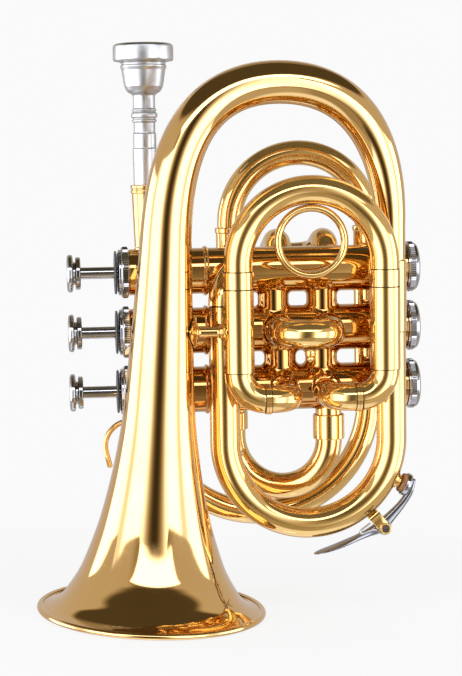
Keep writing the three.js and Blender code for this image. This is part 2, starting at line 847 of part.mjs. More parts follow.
const keyHub = new THREE.Vector3((loopFar + loopNear) / 2, 0, loopSpring);
const loopOuterReach = (loopFar - loopNear) / 2 + loopRadius;
const keyReach = loopOuterReach + keyStandoff;
function keyPoint(angle, distance) {
  return keyHub.clone().add(new THREE.Vector3(Math.cos(angle), 0, Math.sin(angle)).multiplyScalar(distance));
}
function spoke(angle, from, length, radius) {
  const heading = new THREE.Vector3(Math.cos(angle), 0, Math.sin(angle));
  return tube(new Route(keyPoint(angle, from), heading, unitY).go(length), radius, 0);
}
const nippleRoot = 3 * wall;
const nippleFrom = loopOuterReach - nippleRoot;
loopTube = loopTube.add(spoke(keyCorkAngle, nippleFrom, nippleTall + nippleRoot, nippleRadius));
loopTube = loopTube.subtract(spoke(keyCorkAngle, nippleFrom - nippleRoot, 4 * nippleRoot, nippleHole));
place(bellLoop, 'bell_loop', loopTube, lacquer);
place(group(bellLoop, 'loop_sleeve_place', loopFar, 0, 0), 'loop_sleeve',
  pipe(sleeveRadius, spigotRadius + gap, sleeveEnd, sleeveTop, sidesOfTube, unitZ), lacquer);

// Elbow: from the loop into the front of the first valve

const elbowWay = new THREE.Vector3(Math.cos(elbowAngle), Math.sin(elbowAngle), 0);
const elbowRoute = new Route(new THREE.Vector3(loopNear, 0, loopTop + gap), unitZ, unitY);
elbowRoute.bend(elbowRadius, Math.PI / 2, elbowWay, stepsOfElbow + 1).go(casingRadius);
const firstCasing = casingCutter(valvePitch).translate([0, -loopPlane, 0]);
const elbow = tube(elbowRoute, loopRadius, loopRadius - wall).subtract(firstCasing);
place(bellLoop, 'valve_elbow', nearest(elbow, new THREE.Vector3(loopNear, 0, loopTop)), lacquer);

// Third slide: its bow draws upward by the finger ring

const thirdSide = group(instrument, 'third_slide', 0, thirdPlane, 0);
const thirdBow = slideBow(new THREE.Vector3(thirdNear, 0, thirdLegEnd), unitZ, unitX,
  thirdFar - thirdNear, unitY, {
    legLength: thirdMouth + gap - thirdLegEnd,
    legRadius: thirdLegRadius,
    radius: thirdRadius,
    stub: thirdSpring - thirdSleeveTop,
    collar: thirdSleeveTop - thirdMouth - gap,
    collarRadius: thirdOuter,
    steps: stepsOfBow,
  });
place(thirdSide, 'third_bow', thirdBow, lacquer);
const ringCentre = thirdSpring + (thirdFar - thirdNear) / 2 - thirdRadius - gap - fingerRing - fingerWire;
const fingerLoop = new THREE.TorusGeometry(fingerRing, fingerWire, sidesOfRing, stepsOfRing);
fingerLoop.rotateX(Math.PI / 2);
const fingerPlace = group(thirdSide, 'finger_ring_place', (thirdFar + thirdNear) / 2, 0, ringCentre);
place(fingerPlace, 'finger_ring', asSolid(fingerLoop), lacquer);

function thirdOuterTube(x, port, way) {
  const route = new Route(new THREE.Vector3(x, 0, thirdMouth), down, unitY);
  const across = Math.abs(port - x) - thirdElbow - thirdTurn;
  const toward = new THREE.Vector3(way, 0, 0);
  route.go(thirdMouth - thirdLegEnd + gap).go(thirdLegEnd - gap - thirdFoot).go(0);
  route.bend(thirdElbow, Math.PI / 2, toward, stepsOfElbow);
  const bent = route.stations.length;
  route.go(0).go(across).go(0);
  route.bend(thirdTurn, Math.PI / 2, unitY, stepsOfElbow).go(-thirdPlane);
  const straight = bent - stepsOfElbow - 1;
  const outside = route.stations.map((station, i) => {
    if (i < straight) return thirdOuter;
    if (i === bent || i === bent + 1) return thirdOuter + gap;
    return thirdElbowRadius;
  });
  const solid = tube(route, outside, boreOf(outside));
  const cutter = casingCutter(-valvePitch).translate([0, -thirdPlane, 0]);
  return nearest(solid.subtract(cutter), new THREE.Vector3(x, 0, 0));
}
place(thirdSide, 'third_outer_near', thirdOuterTube(thirdNear, thirdPorts[0], 1), lacquer);
place(thirdSide, 'third_outer_far', thirdOuterTube(thirdFar, thirdPorts[1], -1), lacquer);

// Second slide: draws toward the viewer by its knob

const secondSide = group(instrument, 'second_slide', 0, 0, 0);
const toViewer = new THREE.Vector3(0, -1, 0);
secondPorts.forEach((x, i) => {
  const route = new Route(new THREE.Vector3(x, 0, 0), toViewer, unitX);
  const solid = tube(route.go(-secondMouth), secondOuter, secondOuter - wall);
  const cut = nearest(solid.subtract(casingCutter(0)), new THREE.Vector3(x, secondMouth, 0));
  place(secondSide, `second_outer_${i + 1}`, cut, lacquer);
});
const secondBow = slideBow(new THREE.Vector3(secondPorts[0], secondLegEnd, 0), toViewer, unitX,
  secondPorts[1] - secondPorts[0], unitX, {
    legLength: secondLegEnd - secondMouth + gap,
    legRadius: secondLegRadius,
    radius: secondRadius,
    stub: gap,
    collar: 0,
    collarRadius: secondRadius,
    steps: stepsOfSmallBow,
  });
place(secondSide, 'second_bow', secondBow, lacquer);
const secondCrown = secondMouth - 2 * gap - (secondPorts[1] - secondPorts[0]) / 2;
const knobPlace = group(secondSide, 'knob_place', (secondPorts[0] + secondPorts[1]) / 2, secondCrown,
  -secondRadius - gap);
const knobOutline = knobShares.map(([across, along]) => [knobRadius * across, -knobLength * along]);
const knob = turned([[0, -knobLength], ...knobOutline, [0, 0]], sidesOfFitting, unitZ);
place(knobPlace, 'second_knob', knob, lacquer);

// First slide: leaves the far side of the first valve and draws away

const firstSide = group(instrument, 'first_slide', 0, 0, valvePitch);
const firstWay = new THREE.Vector3(0, Math.cos(firstDrop), -Math.sin(firstDrop));
let firstMouth = 0;
firstPorts.forEach((x, i) => {
  const route = new Route(new THREE.Vector3(x, 0, 0), farAbove, unitX);
  const inward = new THREE.Vector3(0, Math.sin(firstLift), -Math.cos(firstLift));
  route.go(firstStart).bend(firstTurn, firstLift + firstDrop, inward, stepsOfElbow);
  route.go(0).go(firstOuterLength);
  firstMouth = route.at.clone();
  const outside = route.stations.map(() => firstOuter);
  const inside = route.stations.map((station, k) => (
    k > stepsOfElbow + 1 ? firstOuter - wall : firstLegRadius - wall));
  const solid = tube(route, outside, inside);
  const cut = nearest(solid.subtract(casingCutter(0)), new THREE.Vector3(x, firstOuterLength, 0));
  place(firstSide, `first_outer_${i + 1}`, cut, lacquer);
});
const firstBow = slideBow(
  firstMouth.clone().setX(firstPorts[0]).addScaledVector(firstWay, gap - firstLegLength),
  firstWay, unitX, firstPorts[1] - firstPorts[0], unitX, {
    legLength: firstLegLength,
    legRadius: firstLegRadius,
    radius: firstRadius,
    stub: gap,
    collar: 0,
    collarRadius: firstRadius,
    steps: stepsOfSmallBow,
  });
place(firstSide, 'first_bow', firstBow, lacquer);

// Brace between the bell and the loop, with a saddle flange at each end

const bellAxisX = bellFootX + (groundDepth + braceHeight) * Math.tan(valveLean);
const braceFrom = new THREE.Vector3(bellAxisX, bellPlane, braceHeight);
const braceTo = new THREE.Vector3(loopNear, loopPlane, braceHeight);
const braceWay = braceTo.clone().sub(braceFrom);
const braceSpan = braceWay.length();
braceWay.normalize();
const bellHereRadius = flareRadiusAt((groundDepth + braceHeight) / Math.cos(valveLean));

function flange(tall, radius) {
  const inside = radius / Math.cos(Math.PI / sidesOfBell) + gap;
  const diamond = new THREE.Shape();
  diamond.moveTo(-tall / 2, 0);
  diamond.lineTo(0, -flangeWidth / 2);
  diamond.lineTo(tall / 2, 0);
  diamond.lineTo(0, flangeWidth / 2);
  const prism = asSolid(new THREE.ExtrudeGeometry(diamond, { depth: 2 * radius, bevelEnabled: false }));
  const shell = pipe(inside + flangeThickness, inside, -tall, tall, sidesOfBell, unitZ);
  return shell.intersect(prism.rotate([0, 90, 0]));
}
const braceRodSolid = rod(braceRod, bellHereRadius + 2 * gap, braceSpan - loopRadius - 2 * gap,
  sidesOfRod, unitX);
const braceSolid = braceRodSolid
  .add(flange(braceBellTall, bellHereRadius))
  .add(flange(braceLoopTall, loopRadius).rotate([0, 0, 180]).translate([braceSpan, 0, 0]));
const bracePlace = group(instrument, 'brace_place', bellAxisX, bellPlane, braceHeight);
bracePlace.rotation.z = Math.atan2(braceWay.y, braceWay.x);
place(bracePlace, 'bell_brace', braceSolid, lacquer);

// Little finger hook on the leadpipe's arc

const hookStart = new THREE.Vector3(
  leadX + arcRadius - (arcRadius + leadRadius + gap) * Math.cos(hookAt),
  0,
  arcSpring - (arcRadius + leadRadius + gap) * Math.sin(hookAt),
);
const hookWay = new THREE.Vector3(-Math.cos(hookHeading), 0, -Math.sin(hookHeading));
const hookDown = new THREE.Vector3(Math.sin(hookHeading), 0, -Math.cos(hookHeading));
const hookRoute = new Route(hookStart, hookWay, unitY);
hookRoute.go(hookReach).bend(hookBend, hookAngle, hookDown, stepsOfSmallBow).go(hookTip);
place(leadSide, 'finger_hook', tube(hookRoute, hookWire, 0), lacquer);

// Water key: saddle, screw, lever, cork and spring

const pivot = keyPoint(keyPivotAngle, keyReach);
const earAt = keyWidth / 2 + keyCurls * keyPitch + 2 * keyWire + 2 * gap;
const earFar = keyWidth / 2 + gap;

function ear(offset) {
  const from = loopOuterReach + gap;
  const plate = new THREE.Shape();
  plate.moveTo(from, -barrelRadius);
  plate.lineTo(keyReach, -barrelRadius);
  plate.absarc(keyReach, 0, barrelRadius, -Math.PI / 2, Math.PI / 2, false);
  plate.lineTo(from, barrelRadius);
  const geometry = new THREE.ExtrudeGeometry(plate, {
    depth: earThickness, bevelEnabled: false, curveSegments: stepsOfSmallBow,
  });
  geometry.rotateX(Math.PI / 2);
  return asSolid(geometry).translate([0, offset, 0]);
}
const footWidth = earAt + earFar + 2 * earThickness;
const footPlate = block(flangeThickness + gap, footWidth, 2 * barrelRadius)
  .translate([loopOuterReach + gap + flangeThickness, (earFar - earAt) / 2, 0]);
let saddle = footPlate.add(ear(-earAt)).add(ear(earFar + earThickness));
const pinHole = rod(pinRadius + gap, -2 * earAt, 2 * earAt, sidesOfFitting, unitY);
saddle = saddle.subtract(pinHole.translate([keyReach, 0, 0]));
const keyPlace = group(bellLoop, 'water_key', keyHub.x, 0, keyHub.z);
const saddlePlace = group(keyPlace, 'saddle_place', 0, 0, 0);
saddlePlace.rotation.y = -keyPivotAngle;
place(saddlePlace, 'key_saddle', saddle, lacquer);

const screw = turned([
  [0, -earAt - 2 * earThickness - gap],
  [screwHead, -earAt - 2 * earThickness - gap],
  [screwHead, -earAt - earThickness - gap],
  [pinRadius, -earAt - earThickness - gap],
  [pinRadius, earFar + earThickness],
  [0, earFar + earThickness],
], sidesOfFitting, unitY);
place(group(saddlePlace, 'screw_place', keyReach, 0, 0), 'key_screw', screw, silver);

// The lever is a band about the loop's own centre, widened for the thumb
function band(from, to, width, thickness) {
  const shape = new THREE.Shape();
  shape.absarc(0, 0, keyReach + thickness / 2, from, to, true);
  shape.absarc(0, 0, keyReach - thickness / 2, to, from, false);
  const geometry = new THREE.ExtrudeGeometry(shape, {
    depth: width, bevelEnabled: false, curveSegments: stepsOfSmallBow,
  });
  geometry.rotateX(Math.PI / 2);
  return asSolid(geometry).translate([0, width / 2, 0]);
}
const pivotHere = [keyReach * Math.cos(keyPivotAngle), 0, keyReach * Math.sin(keyPivotAngle)];
const cupTop = loopOuterReach + nippleTall + gap + corkTall;
let lever = band(keyCorkAngle, keyTipAngle, keyWidth, keyThickness);
lever = lever.add(band(thumbAngle, keyTipAngle, thumbWidth, keyThickness));
const barrel = rod(barrelRadius, -keyWidth / 2, keyWidth / 2, sidesOfFitting, unitY);
lever = lever.add(barrel.translate(pivotHere)).subtract(pinHole.translate(pivotHere));
const keyCup = (from, length, radius) => spoke(keyCorkAngle, from, length, radius)
  .translate([-keyHub.x, 0, -keyHub.z]);
lever = lever.add(keyCup(cupTop - gap, keyReach + keyThickness / 2 - cupTop + gap, cupRadius));
lever = lever.subtract(keyCup(cupTop - 2 * gap, gap * 3, corkRadius + gap));
place(keyPlace, 'key_lever', lever, silver);
place(keyPlace, 'key_cork', keyCup(loopOuterReach + nippleTall + gap, corkTall, corkRadius), cork);

// Spring: curls about the barrel, with a leg at each end

const springRoute = coil(barrelRadius + gap + keyWire, 0, keyCurls * keyPitch, keyCurls, stepsOfCurl);

function leg(station, length) {
  return { ...station, centre: station.centre.clone().addScaledVector(station.heading, length) };
}
springRoute.stations.unshift(leg(springRoute.stations[0], -keyLeg));
springRoute.stations.push(leg(springRoute.stations.at(-1), keyLeg));

// The least distance between points of the wire that lie half a curl or more apart
let leastGap = Infinity;
const springRings = springRoute.stations.map((station) => ring(station, keyWire, sidesOfWire));
springRings.forEach((here, i) => {
  const others = springRings.slice(i + stepsOfCurl / 2).flat();
  here.forEach((point) => {
    leastGap = Math.min(leastGap, ...others.map((other) => point.distanceTo(other)));
  });
});
console.log('key_spring: least gap between its own curls', leastGap.toFixed(2), 'mm');

const springPlace = group(saddlePlace, 'key_spring_place', keyReach, -keyWidth / 2 - gap - keyWire, 0);
springPlace.rotation.z = -Math.PI / 2;
place(springPlace, 'key_spring', tube(springRoute, keyWire, 0, sidesOfWire), springSteel);

// The origin lies under the middle of the whole object, at the height of the rim it stands on

const bounds = new THREE.Box3().setFromObject(instrument);
const middle = bounds.getCenter(new THREE.Vector3());
instrument.position.set(-middle.x, -middle.y, -bounds.min.z);
instrument.updateMatrixWorld(true);

export default instrument;
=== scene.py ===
import math

import bmesh
import bpy
from mathutils import Matrix, Vector


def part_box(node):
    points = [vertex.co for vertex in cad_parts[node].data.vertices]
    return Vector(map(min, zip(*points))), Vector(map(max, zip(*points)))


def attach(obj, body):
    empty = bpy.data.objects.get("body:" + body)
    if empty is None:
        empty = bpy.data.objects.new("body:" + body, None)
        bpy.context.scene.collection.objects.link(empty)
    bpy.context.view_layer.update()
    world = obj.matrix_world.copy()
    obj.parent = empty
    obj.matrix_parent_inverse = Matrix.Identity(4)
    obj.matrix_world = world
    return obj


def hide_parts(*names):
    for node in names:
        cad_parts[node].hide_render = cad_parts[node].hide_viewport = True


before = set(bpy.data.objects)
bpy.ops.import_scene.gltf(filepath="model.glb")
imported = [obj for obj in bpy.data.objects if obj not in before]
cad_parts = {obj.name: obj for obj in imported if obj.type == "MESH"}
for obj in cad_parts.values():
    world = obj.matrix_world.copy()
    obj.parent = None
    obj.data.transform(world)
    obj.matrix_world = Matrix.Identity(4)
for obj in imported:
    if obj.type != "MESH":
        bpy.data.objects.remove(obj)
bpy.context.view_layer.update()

# The stance. The instrument stands on its bell's rim. Every piece is drawn in the valves' own frame, in
# millimetres, with X along the valves from the buttons, Y away from the viewer and Z up. The stance turns
# that frame into the model's.
MM_PER_M = 1000
LEAN = math.radians(3.27)
BELL_FOOT = Vector((-38.9, -28.0, -117.25))
UPRIGHT = Vector((math.sin(LEAN), 0, math.cos(LEAN)))
ACROSS, AWAY, UP = Vector((1, 0, 0)), Vector((0, 1, 0)), Vector((0, 0, 1))
low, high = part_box("bell")
leaned = Matrix.Rotation(-LEAN, 4, "Y")
under_bell = Vector(((low.x + high.x) / 2 * MM_PER_M, (low.y + high.y) / 2 * MM_PER_M, 0))
stance = Matrix.Scale(1 / MM_PER_M, 4) @ Matrix.Translation(under_bell - leaned @ BELL_FOOT) @ leaned


def placed(name, data):
    """A new object in the scene"""
    made = bpy.data.objects.new(name, data)
    bpy.context.scene.collection.objects.link(made)
    return made


# The camera stands in front, a little left and above the middle, with the long lens of the photograph.
camera = placed("camera", bpy.data.cameras.new("camera"))
camera.location = (-0.08824, -0.74721, 0.18467)
camera.rotation_euler = [math.radians(angle) for angle in (84.8471, -2.3615, -6.2488)]
camera.data.sensor_width = 36
camera.data.lens = 93.57
camera.data.clip_start = 0.05
camera.data.clip_end = 20
bpy.context.scene.camera = camera
bpy.context.scene.view_settings.view_transform = "Standard"


class Tone:
    """A socket in a tree of nodes: a sum on it adds its Math nodes, and node() adds any other node."""

    def __init__(self, tree, socket=None):
        self.tree = tree
        self.socket = socket

    def node(self, kind, settings=None, values=None, out=0):
        made = self.tree.nodes.new(kind)
        for name, value in (settings or {}).items():
            setattr(made, name, value)
        for name, value in (values or {}).items():
            if isinstance(value, Tone):
                value.feed(made.inputs[name])
            else:
                made.inputs[name].default_value = value
        return Tone(self.tree, made.outputs[out] if made.outputs else None)

    def feed(self, socket):
        self.tree.links.new(self.socket, socket)

    def sum(self, operation, first, second=0.0):
        return self.node("ShaderNodeMath", {"operation": operation}, {0: first, 1: second})

    def __add__(self, other):
        return self.sum("ADD", self, other)

    __radd__ = __add__

    def __mul__(self, other):
        return self.sum("MULTIPLY", self, other)

    __rmul__ = __mul__

    def __sub__(self, other):
        return self.sum("SUBTRACT", self, other)

    def __rsub__(self, other):
        return self.sum("SUBTRACT", other, self)

    def fade(self, start, end):
        """0 at start, 1 at end, smooth between"""
        return self.node("ShaderNodeMapRange", {"interpolation_type": "SMOOTHSTEP"},
                         {0: self, 1: start, 2: end, 3: 0.0, 4: 1.0})

    def toward(self, other, share):
        """Self where the share is 0 and the other where it is 1"""
        return self + share * (other - self)

    def blend(self, first, second):
        """The colour that self, from 0 to 1, mixes"""
        colours = {6: (*first, 1), 7: (*second, 1)}
        return self.node("ShaderNodeMix", {"data_type": "RGBA"}, {0: self, **colours}, 2)

    def noise(self, scale, detail, rough=0.5):
        """Noise at the place that self is"""
        return self.node("ShaderNodeTexNoise", None,
                         {"Vector": self, "Scale": scale, "Detail": detail, "Roughness": rough})

    def relief(self, strength, distance):
        """The normal of a surface that self raises a little"""
        return self.node("ShaderNodeBump", None, {"Strength": strength, "Distance": distance, "Height": self})


# The studio: a white surround for the eye. The metal mirrors soft white panels to both sides, each in two
# sheets with a seam, the dark slot between them where the photographer stands, a soft box above it, a dark
# ceiling that pales at the rear, and pale paper below. Levels are light. Places are degrees, round from the
# slot and up from level, and a pair of them is where an edge starts and where it ends.
WHITE, FILL = 0.956, 0.8
PANEL, PANEL_TOP, PANEL_FOOT, PANEL_END = 3.5, (20.8, 19.2), (-30, -26), (122, 114)
SLOT, SLOT_WAY, SLOT_HALF, SLOT_POWER = 0.045, -5.0, 30.0, 2.8
SEAM, SEAM_AT, SEAM_EDGE = 0.62, 73, (12, 3)
LEFT_DROP, LEFT_DROP_EDGE, SLOT_RISE, SLOT_RISE_EDGE = 6, (74, 79), 8, (30, 25)
RIGHT_DROP, RIGHT_SEAM, RIGHT_FOOT, RIGHT_END = 3, 8, 6, 15
ABOVE, ABOVE_SLOT, ABOVE_EDGE = 0.6, 0.4, (25, 45)
CEILING, CEILING_EDGE, REAR, REAR_EDGE, REAR_TOP = 0.08, (36, 42), 0.25, (140, 165), (63, 57)
TABLE, TABLE_EDGE, TABLE_SLOT, TABLE_SLOT_EDGE = 0.58, (-22, -30), 0.65, (20, 30)
PAPER, PAPER_EDGE = 1.2, (-50, -60)
SOFT_BOX, BOX_SIDE, BOX_NEAR, BOX_FAR, LEAST_RISE = 4.0, (1.22, 1.1), (1.17, 1.29), (2.1, 1.98), 0.05
DARK_TINT, LIGHT_TINT, TINT_LEVELS = (1.08, 0.88, 0.6), (0.94, 1.0, 1.26), (0.05, 1.1)
world = bpy.data.worlds.new("studio")
bpy.context.scene.world = world
world.use_nodes = True
world.node_tree.nodes.clear()
air = Tone(world.node_tree)
seen = air.node("ShaderNodeTexCoord")
parts = seen.node("ShaderNodeSeparateXYZ", None, {0: seen}).socket.node.outputs
way_x, way_y, way_z = (Tone(world.node_tree, part) for part in parts)
around = air.sum("ARCTAN2", way_x, 0 - way_y) * math.degrees(1) - SLOT_WAY
off = air.sum("ABSOLUTE", around)
height = air.sum("ARCSINE", way_z) * math.degrees(1)
right = around.fade(-1, 1)
rear = off.fade(*REAR_EDGE)
level = ABOVE * (ABOVE_SLOT + (1 - ABOVE_SLOT) * off.fade(*ABOVE_EDGE))
level = level.toward(CEILING + REAR * rear * height.fade(*REAR_TOP), height.fade(*CEILING_EDGE))
table = TABLE * (TABLE_SLOT + (1 - TABLE_SLOT) * off.fade(*TABLE_SLOT_EDGE))
level = level.toward(table, height.fade(*TABLE_EDGE))
level = level.toward(PAPER, height.fade(*PAPER_EDGE))
slope = air.sum("POWER", air.sum("MINIMUM", off * (1 / SLOT_HALF), 1.0), SLOT_POWER)
seam = air.sum("ABSOLUTE", off + right * RIGHT_SEAM - SEAM_AT).fade(*SEAM_EDGE)
drop = (1 - right) * off.fade(*LEFT_DROP_EDGE) * LEFT_DROP + right * RIGHT_DROP
lip = (height + drop - off.fade(*SLOT_RISE_EDGE) * SLOT_RISE).fade(*PANEL_TOP)
sheet = lip * (height - right * RIGHT_FOOT).fade(*PANEL_FOOT) * (off + right * RIGHT_END).fade(*PANEL_END)
level = level.toward(PANEL * slope * (1 - seam * SEAM) + SLOT, sheet)
rise = air.sum("MAXIMUM", way_z, LEAST_RISE)
ahead = air.sum("DIVIDE", 0 - way_y, rise)
beside = air.sum("ABSOLUTE", air.sum("DIVIDE", way_x, rise))
level = level.toward(SOFT_BOX, beside.fade(*BOX_SIDE) * ahead.fade(*BOX_NEAR) * ahead.fade(*BOX_FAR))
hue = level.fade(*TINT_LEVELS).blend(DARK_TINT, LIGHT_TINT)
light_path = air.node("ShaderNodeLightPath").socket.node.outputs
by_camera, by_gloss = Tone(world.node_tree, light_path[0]), Tone(world.node_tree, light_path[3])
strength = FILL + by_camera * (WHITE - FILL) + by_gloss * (level - FILL)
tint = air.node("ShaderNodeMix", {"data_type": "RGBA"}, {0: by_gloss, 6: (1, 1, 1, 1), 7: hue}, 2)
surround = air.node("ShaderNodeBackground", None, {0: tint, 1: strength})
air.node("ShaderNodeOutputWorld", None, {0: surround})

# Two lamps shape the felts and the cork. The metal doesn't mirror them.
LAMP_SIZE, LAMPS_FACE = 1.0, Vector((0, 0, 0.1))
for name, place, power in (("lamp_left", (-1.1, -0.9, 1.2), 9), ("lamp_right", (1.2, -0.7, 1.0), 7)):
    lamp = placed(name, bpy.data.lights.new(name, "AREA"))
    lamp.data.size = LAMP_SIZE
    lamp.data.energy = power
    lamp.location = place
    lamp.rotation_euler = (LAMPS_FACE - Vector(place)).to_track_quat("-Z", "Y").to_euler()
    lamp.visible_glossy = False

# The floor has the surround's white and fades into it. Only the instrument's soft shadow shows on it.
FLOOR, FLOOR_DROP, FLOOR_FADE, FLOOR_GLOW = 0.34, 0.0003, (0.16, 0.33), 0.86
PALE = (0.885, 0.9, 0.915, 1)
corners = [(x * FLOOR, y * FLOOR, -FLOOR_DROP) for x, y in ((-1, -1), (1, -1), (1, 1), (-1, 1))]
floor_mesh = bpy.data.meshes.new("floor")
floor_mesh.from_pydata(corners, [], [(0, 1, 2, 3)])
floor = placed("floor", floor_mesh)
floor_finish = bpy.data.materials.new("pale_floor")
floor_finish.use_nodes = True
floor_finish.node_tree.nodes.clear()
ground = Tone(floor_finish.node_tree)
paper = ground.node("ShaderNodeBsdfDiffuse", None, {0: PALE})
glow = ground.node("ShaderNodeEmission", None, {0: (1, 1, 1, 1), 1: WHITE})
clear = ground.node("ShaderNodeBsdfTransparent")
spot = ground.node("ShaderNodeTexCoord", out=3)
from_middle = spot.node("ShaderNodeVectorMath", {"operation": "LENGTH"}, {0: spot}, 1)
lit = ground.node("ShaderNodeLightPath") * FLOOR_GLOW
mixed = ground.node("ShaderNodeMixShader", None, {0: lit, 1: paper, 2: glow})
faded = ground.node("ShaderNodeMixShader", None, {0: from_middle.fade(*FLOOR_FADE), 1: mixed, 2: clear})
ground.node("ShaderNodeOutputMaterial", None, {0: faded})
floor_mesh.materials.append(floor_finish)
floor.visible_glossy = False


def finish(name, colour, metallic, roughness, **fixed):
    """A material, a place in its own object to vary it by, and its shader's sockets"""
    made = bpy.data.materials.new(name)
    made.use_nodes = True
    made.diffuse_color = (*colour, 1)
    sockets = made.node_tree.nodes["Principled BSDF"].inputs
    sockets["Base Color"].default_value = (*colour, 1)
    sockets["Metallic"].default_value = metallic
    sockets["Roughness"].default_value = roughness
    for socket, value in fixed.items():
        sockets[socket.replace("_", " ")].default_value = value
    return made, Tone(made.node_tree).node("ShaderNodeTexCoord", out=3), sockets


# Gold lacquer: polished brass under a clear yellow lacquer. The lacquer flows a little thicker here and there
# and carries the finest wiping marks. On the valves its colour is darker as painted shade, and the front
# tubes have a slight haze.
def lacquer(name, thin, thick, bare):
    """Brass under lacquer, thin and thick in turn. The less bare it is, the more haze lifts its darks"""
    made, place, sockets = finish(name, thin, bare, 0.06, Coat_Roughness=0.03, Coat_IOR=1.5)
    flow = place.noise(38.0, 3.0)
    fine = place.noise(900.0, 4.0)
    stretched = place.node("ShaderNodeMapping", None, {"Vector": place, "Scale": (2600, 2600, 160)})
    wiped = stretched.noise(1.0, 2.0)
    depth = flow.fade(0.35, 0.7)
    depth.blend(thin, thick).feed(sockets["Base Color"])
    (0.06 + fine.fade(0.5, 0.75) * 0.03 + wiped.fade(0.55, 0.8) * 0.03).feed(sockets["Roughness"])
    (0.35 + depth * 0.3).feed(sockets["Coat Weight"])
    flow.relief(0.03, 0.0002).feed(sockets["Normal"])
    return made


gold = lacquer("gold_lacquer", (0.86, 0.55, 0.17), (0.82, 0.5, 0.14), 0.88)
bell_gold = lacquer("bell_lacquer", (0.86, 0.55, 0.19), (0.82, 0.5, 0.16), 1)
# The two valve copies are darker only as painted shade. The deepest goes on the lower casings, the knuckles
# and the brazes.
valve_gold_painted_shade = lacquer("valve_lacquer_painted_shade", (0.74, 0.43, 0.12), (0.69, 0.38, 0.1), 1)
deep_gold_painted_shade = lacquer("deep_lacquer_painted_shade", (0.6, 0.31, 0.075), (0.54, 0.26, 0.055), 1)


# Plate: a grey, slightly bloomed silver on the mouthpiece, a harder bright nickel on caps and buttons, a
# darker one on the forged lever, and an aged steel screw.
def plate(name, base, bloom, dull):
    made, place, sockets = finish(name, base, 1, dull)
    cloud = place.noise(120.0, 5.0)
    rubbed = place.noise(1500.0, 3.0)
    cloud.fade(0.45, 0.75).blend(base, bloom).feed(sockets["Base Color"])
    (dull * (0.9 + cloud.fade(0.4, 0.7) * 0.2 + rubbed.fade(0.5, 0.8) * 0.15)).feed(sockets["Roughness"])
    rubbed.relief(0.06, 0.0001).feed(sockets["Normal"])
    return made


silver = plate("silver_plate", (0.56, 0.545, 0.48), (0.51, 0.5, 0.445), 0.38)
nickel = plate("nickel_plate", (0.5, 0.485, 0.44), (0.42, 0.41, 0.37), 0.12)
forged = plate("forged_nickel", (0.3, 0.295, 0.28), (0.24, 0.235, 0.22), 0.2)
dark_steel = plate("aged_steel", (0.13, 0.1, 0.075), (0.1, 0.075, 0.055), 0.3)


class Run:
    """A tube's centre line as it is bent, with the tube's outside radius at each point"""

    def __init__(self, start, heading, radius):
        self.points = [Vector(start)]
        self.sizes = [radius]
        self.heading = Vector(heading).normalized()

    def mark(self, point, radius):
        self.points.append(point)
        self.sizes.append(radius)
        return self

    def go(self, length, radius=None):
        end = self.sizes[-1] if radius is None else radius
        return self.mark(self.points[-1] + self.heading * length, end)

    def shoulder(self, radius, chamfer=0.12):
        """The tube steps to another size over a small chamfer"""
        return self.go(0.02).go(chamfer, radius).go(0.02)

    def groove(self, floor, radius):
        """A narrow joint with its floor at one size, and then the tube at another"""
        return self.shoulder(floor, 0.05).go(0.3).shoulder(radius, 0.05)

    def bend(self, turn, degrees, toward, step=4.5):
        toward = Vector(toward).normalized()
        hub = self.points[-1] + toward * turn
        axis = self.heading.cross(toward).normalized()
        count = max(2, round(abs(degrees) / step))
        each = Matrix.Rotation(math.radians(degrees) / count, 3, axis)
        for _ in range(count):
            self.heading = (each @ self.heading).normalized()
            self.mark(hub + each @ (self.points[-1] - hub), self.sizes[-1])
        return self

    def curve(self, corners, sizes):
        """Along a curve of four corner points, at the sizes given"""
        a, b, c, d = (Vector(corner) for corner in corners)
        for i, size in enumerate(sizes):
            t = (i + 1) / len(sizes)
            s = 1 - t
            self.mark(s ** 3 * a + 3 * s * s * t * b + 3 * s * t * t * c + t ** 3 * d, size)
        self.heading = (d - c).normalized()
        return self


def settle(piece, *nodes, body="instrument", slot="gold_lacquer"):
    """The piece rides on its body and stands for its nodes. Its slot is not used"""
    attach(piece, body)
    if nodes:
        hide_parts(*nodes)


def made_mesh(name, points, faces, material, crease=None):
    """A mesh from points in the valves' frame, its faces turned outwards"""
    mesh = bpy.data.meshes.new(name)
    mesh.from_pydata([stance @ Vector(point) for point in points], [], faces)
    shape = bmesh.new()
    shape.from_mesh(mesh)
    bmesh.ops.recalc_face_normals(shape, faces=shape.faces)
    if shape.calc_volume(signed=True) < 0:
        bmesh.ops.reverse_faces(shape, faces=shape.faces)
    shape.to_mesh(mesh)
    shape.free()
    mesh.shade_smooth()
    if crease:
        mesh.set_sharp_from_angle(angle=math.radians(crease))
    mesh.materials.append(material)
    return placed(name, mesh)


def baked(piece, crease=None):
    """The piece as a plain mesh, its modifiers worked in"""
    bpy.context.view_layer.update()
    drawn = piece.evaluated_get(bpy.context.evaluated_depsgraph_get())
    mesh = bpy.data.meshes.new_from_object(drawn)
    old = piece.data
    piece.modifiers.clear()
    piece.data = mesh
    bpy.data.meshes.remove(old)
    mesh.name = piece.name
    if crease:
        mesh.set_sharp_from_angle(angle=math.radians(crease))
    return piece


def new_tree(name, inputs):
    """A Geometry Nodes tree with its inputs: the tree, the inputs' keys, and a Tone for each"""
    tree = bpy.data.node_groups.new(name, "GeometryNodeTree")
    keys = [tree.interface.new_socket(label, in_out="INPUT", socket_type=f"NodeSocket{kind}").identifier
            for label, kind in inputs.items()]
    tree.interface.new_socket("Made", in_out="OUTPUT", socket_type="NodeSocketGeometry")
    given = Tone(tree).node("NodeGroupInput").socket.node.outputs
    return tree, keys, [Tone(tree, given[i]) for i in range(len(keys))]


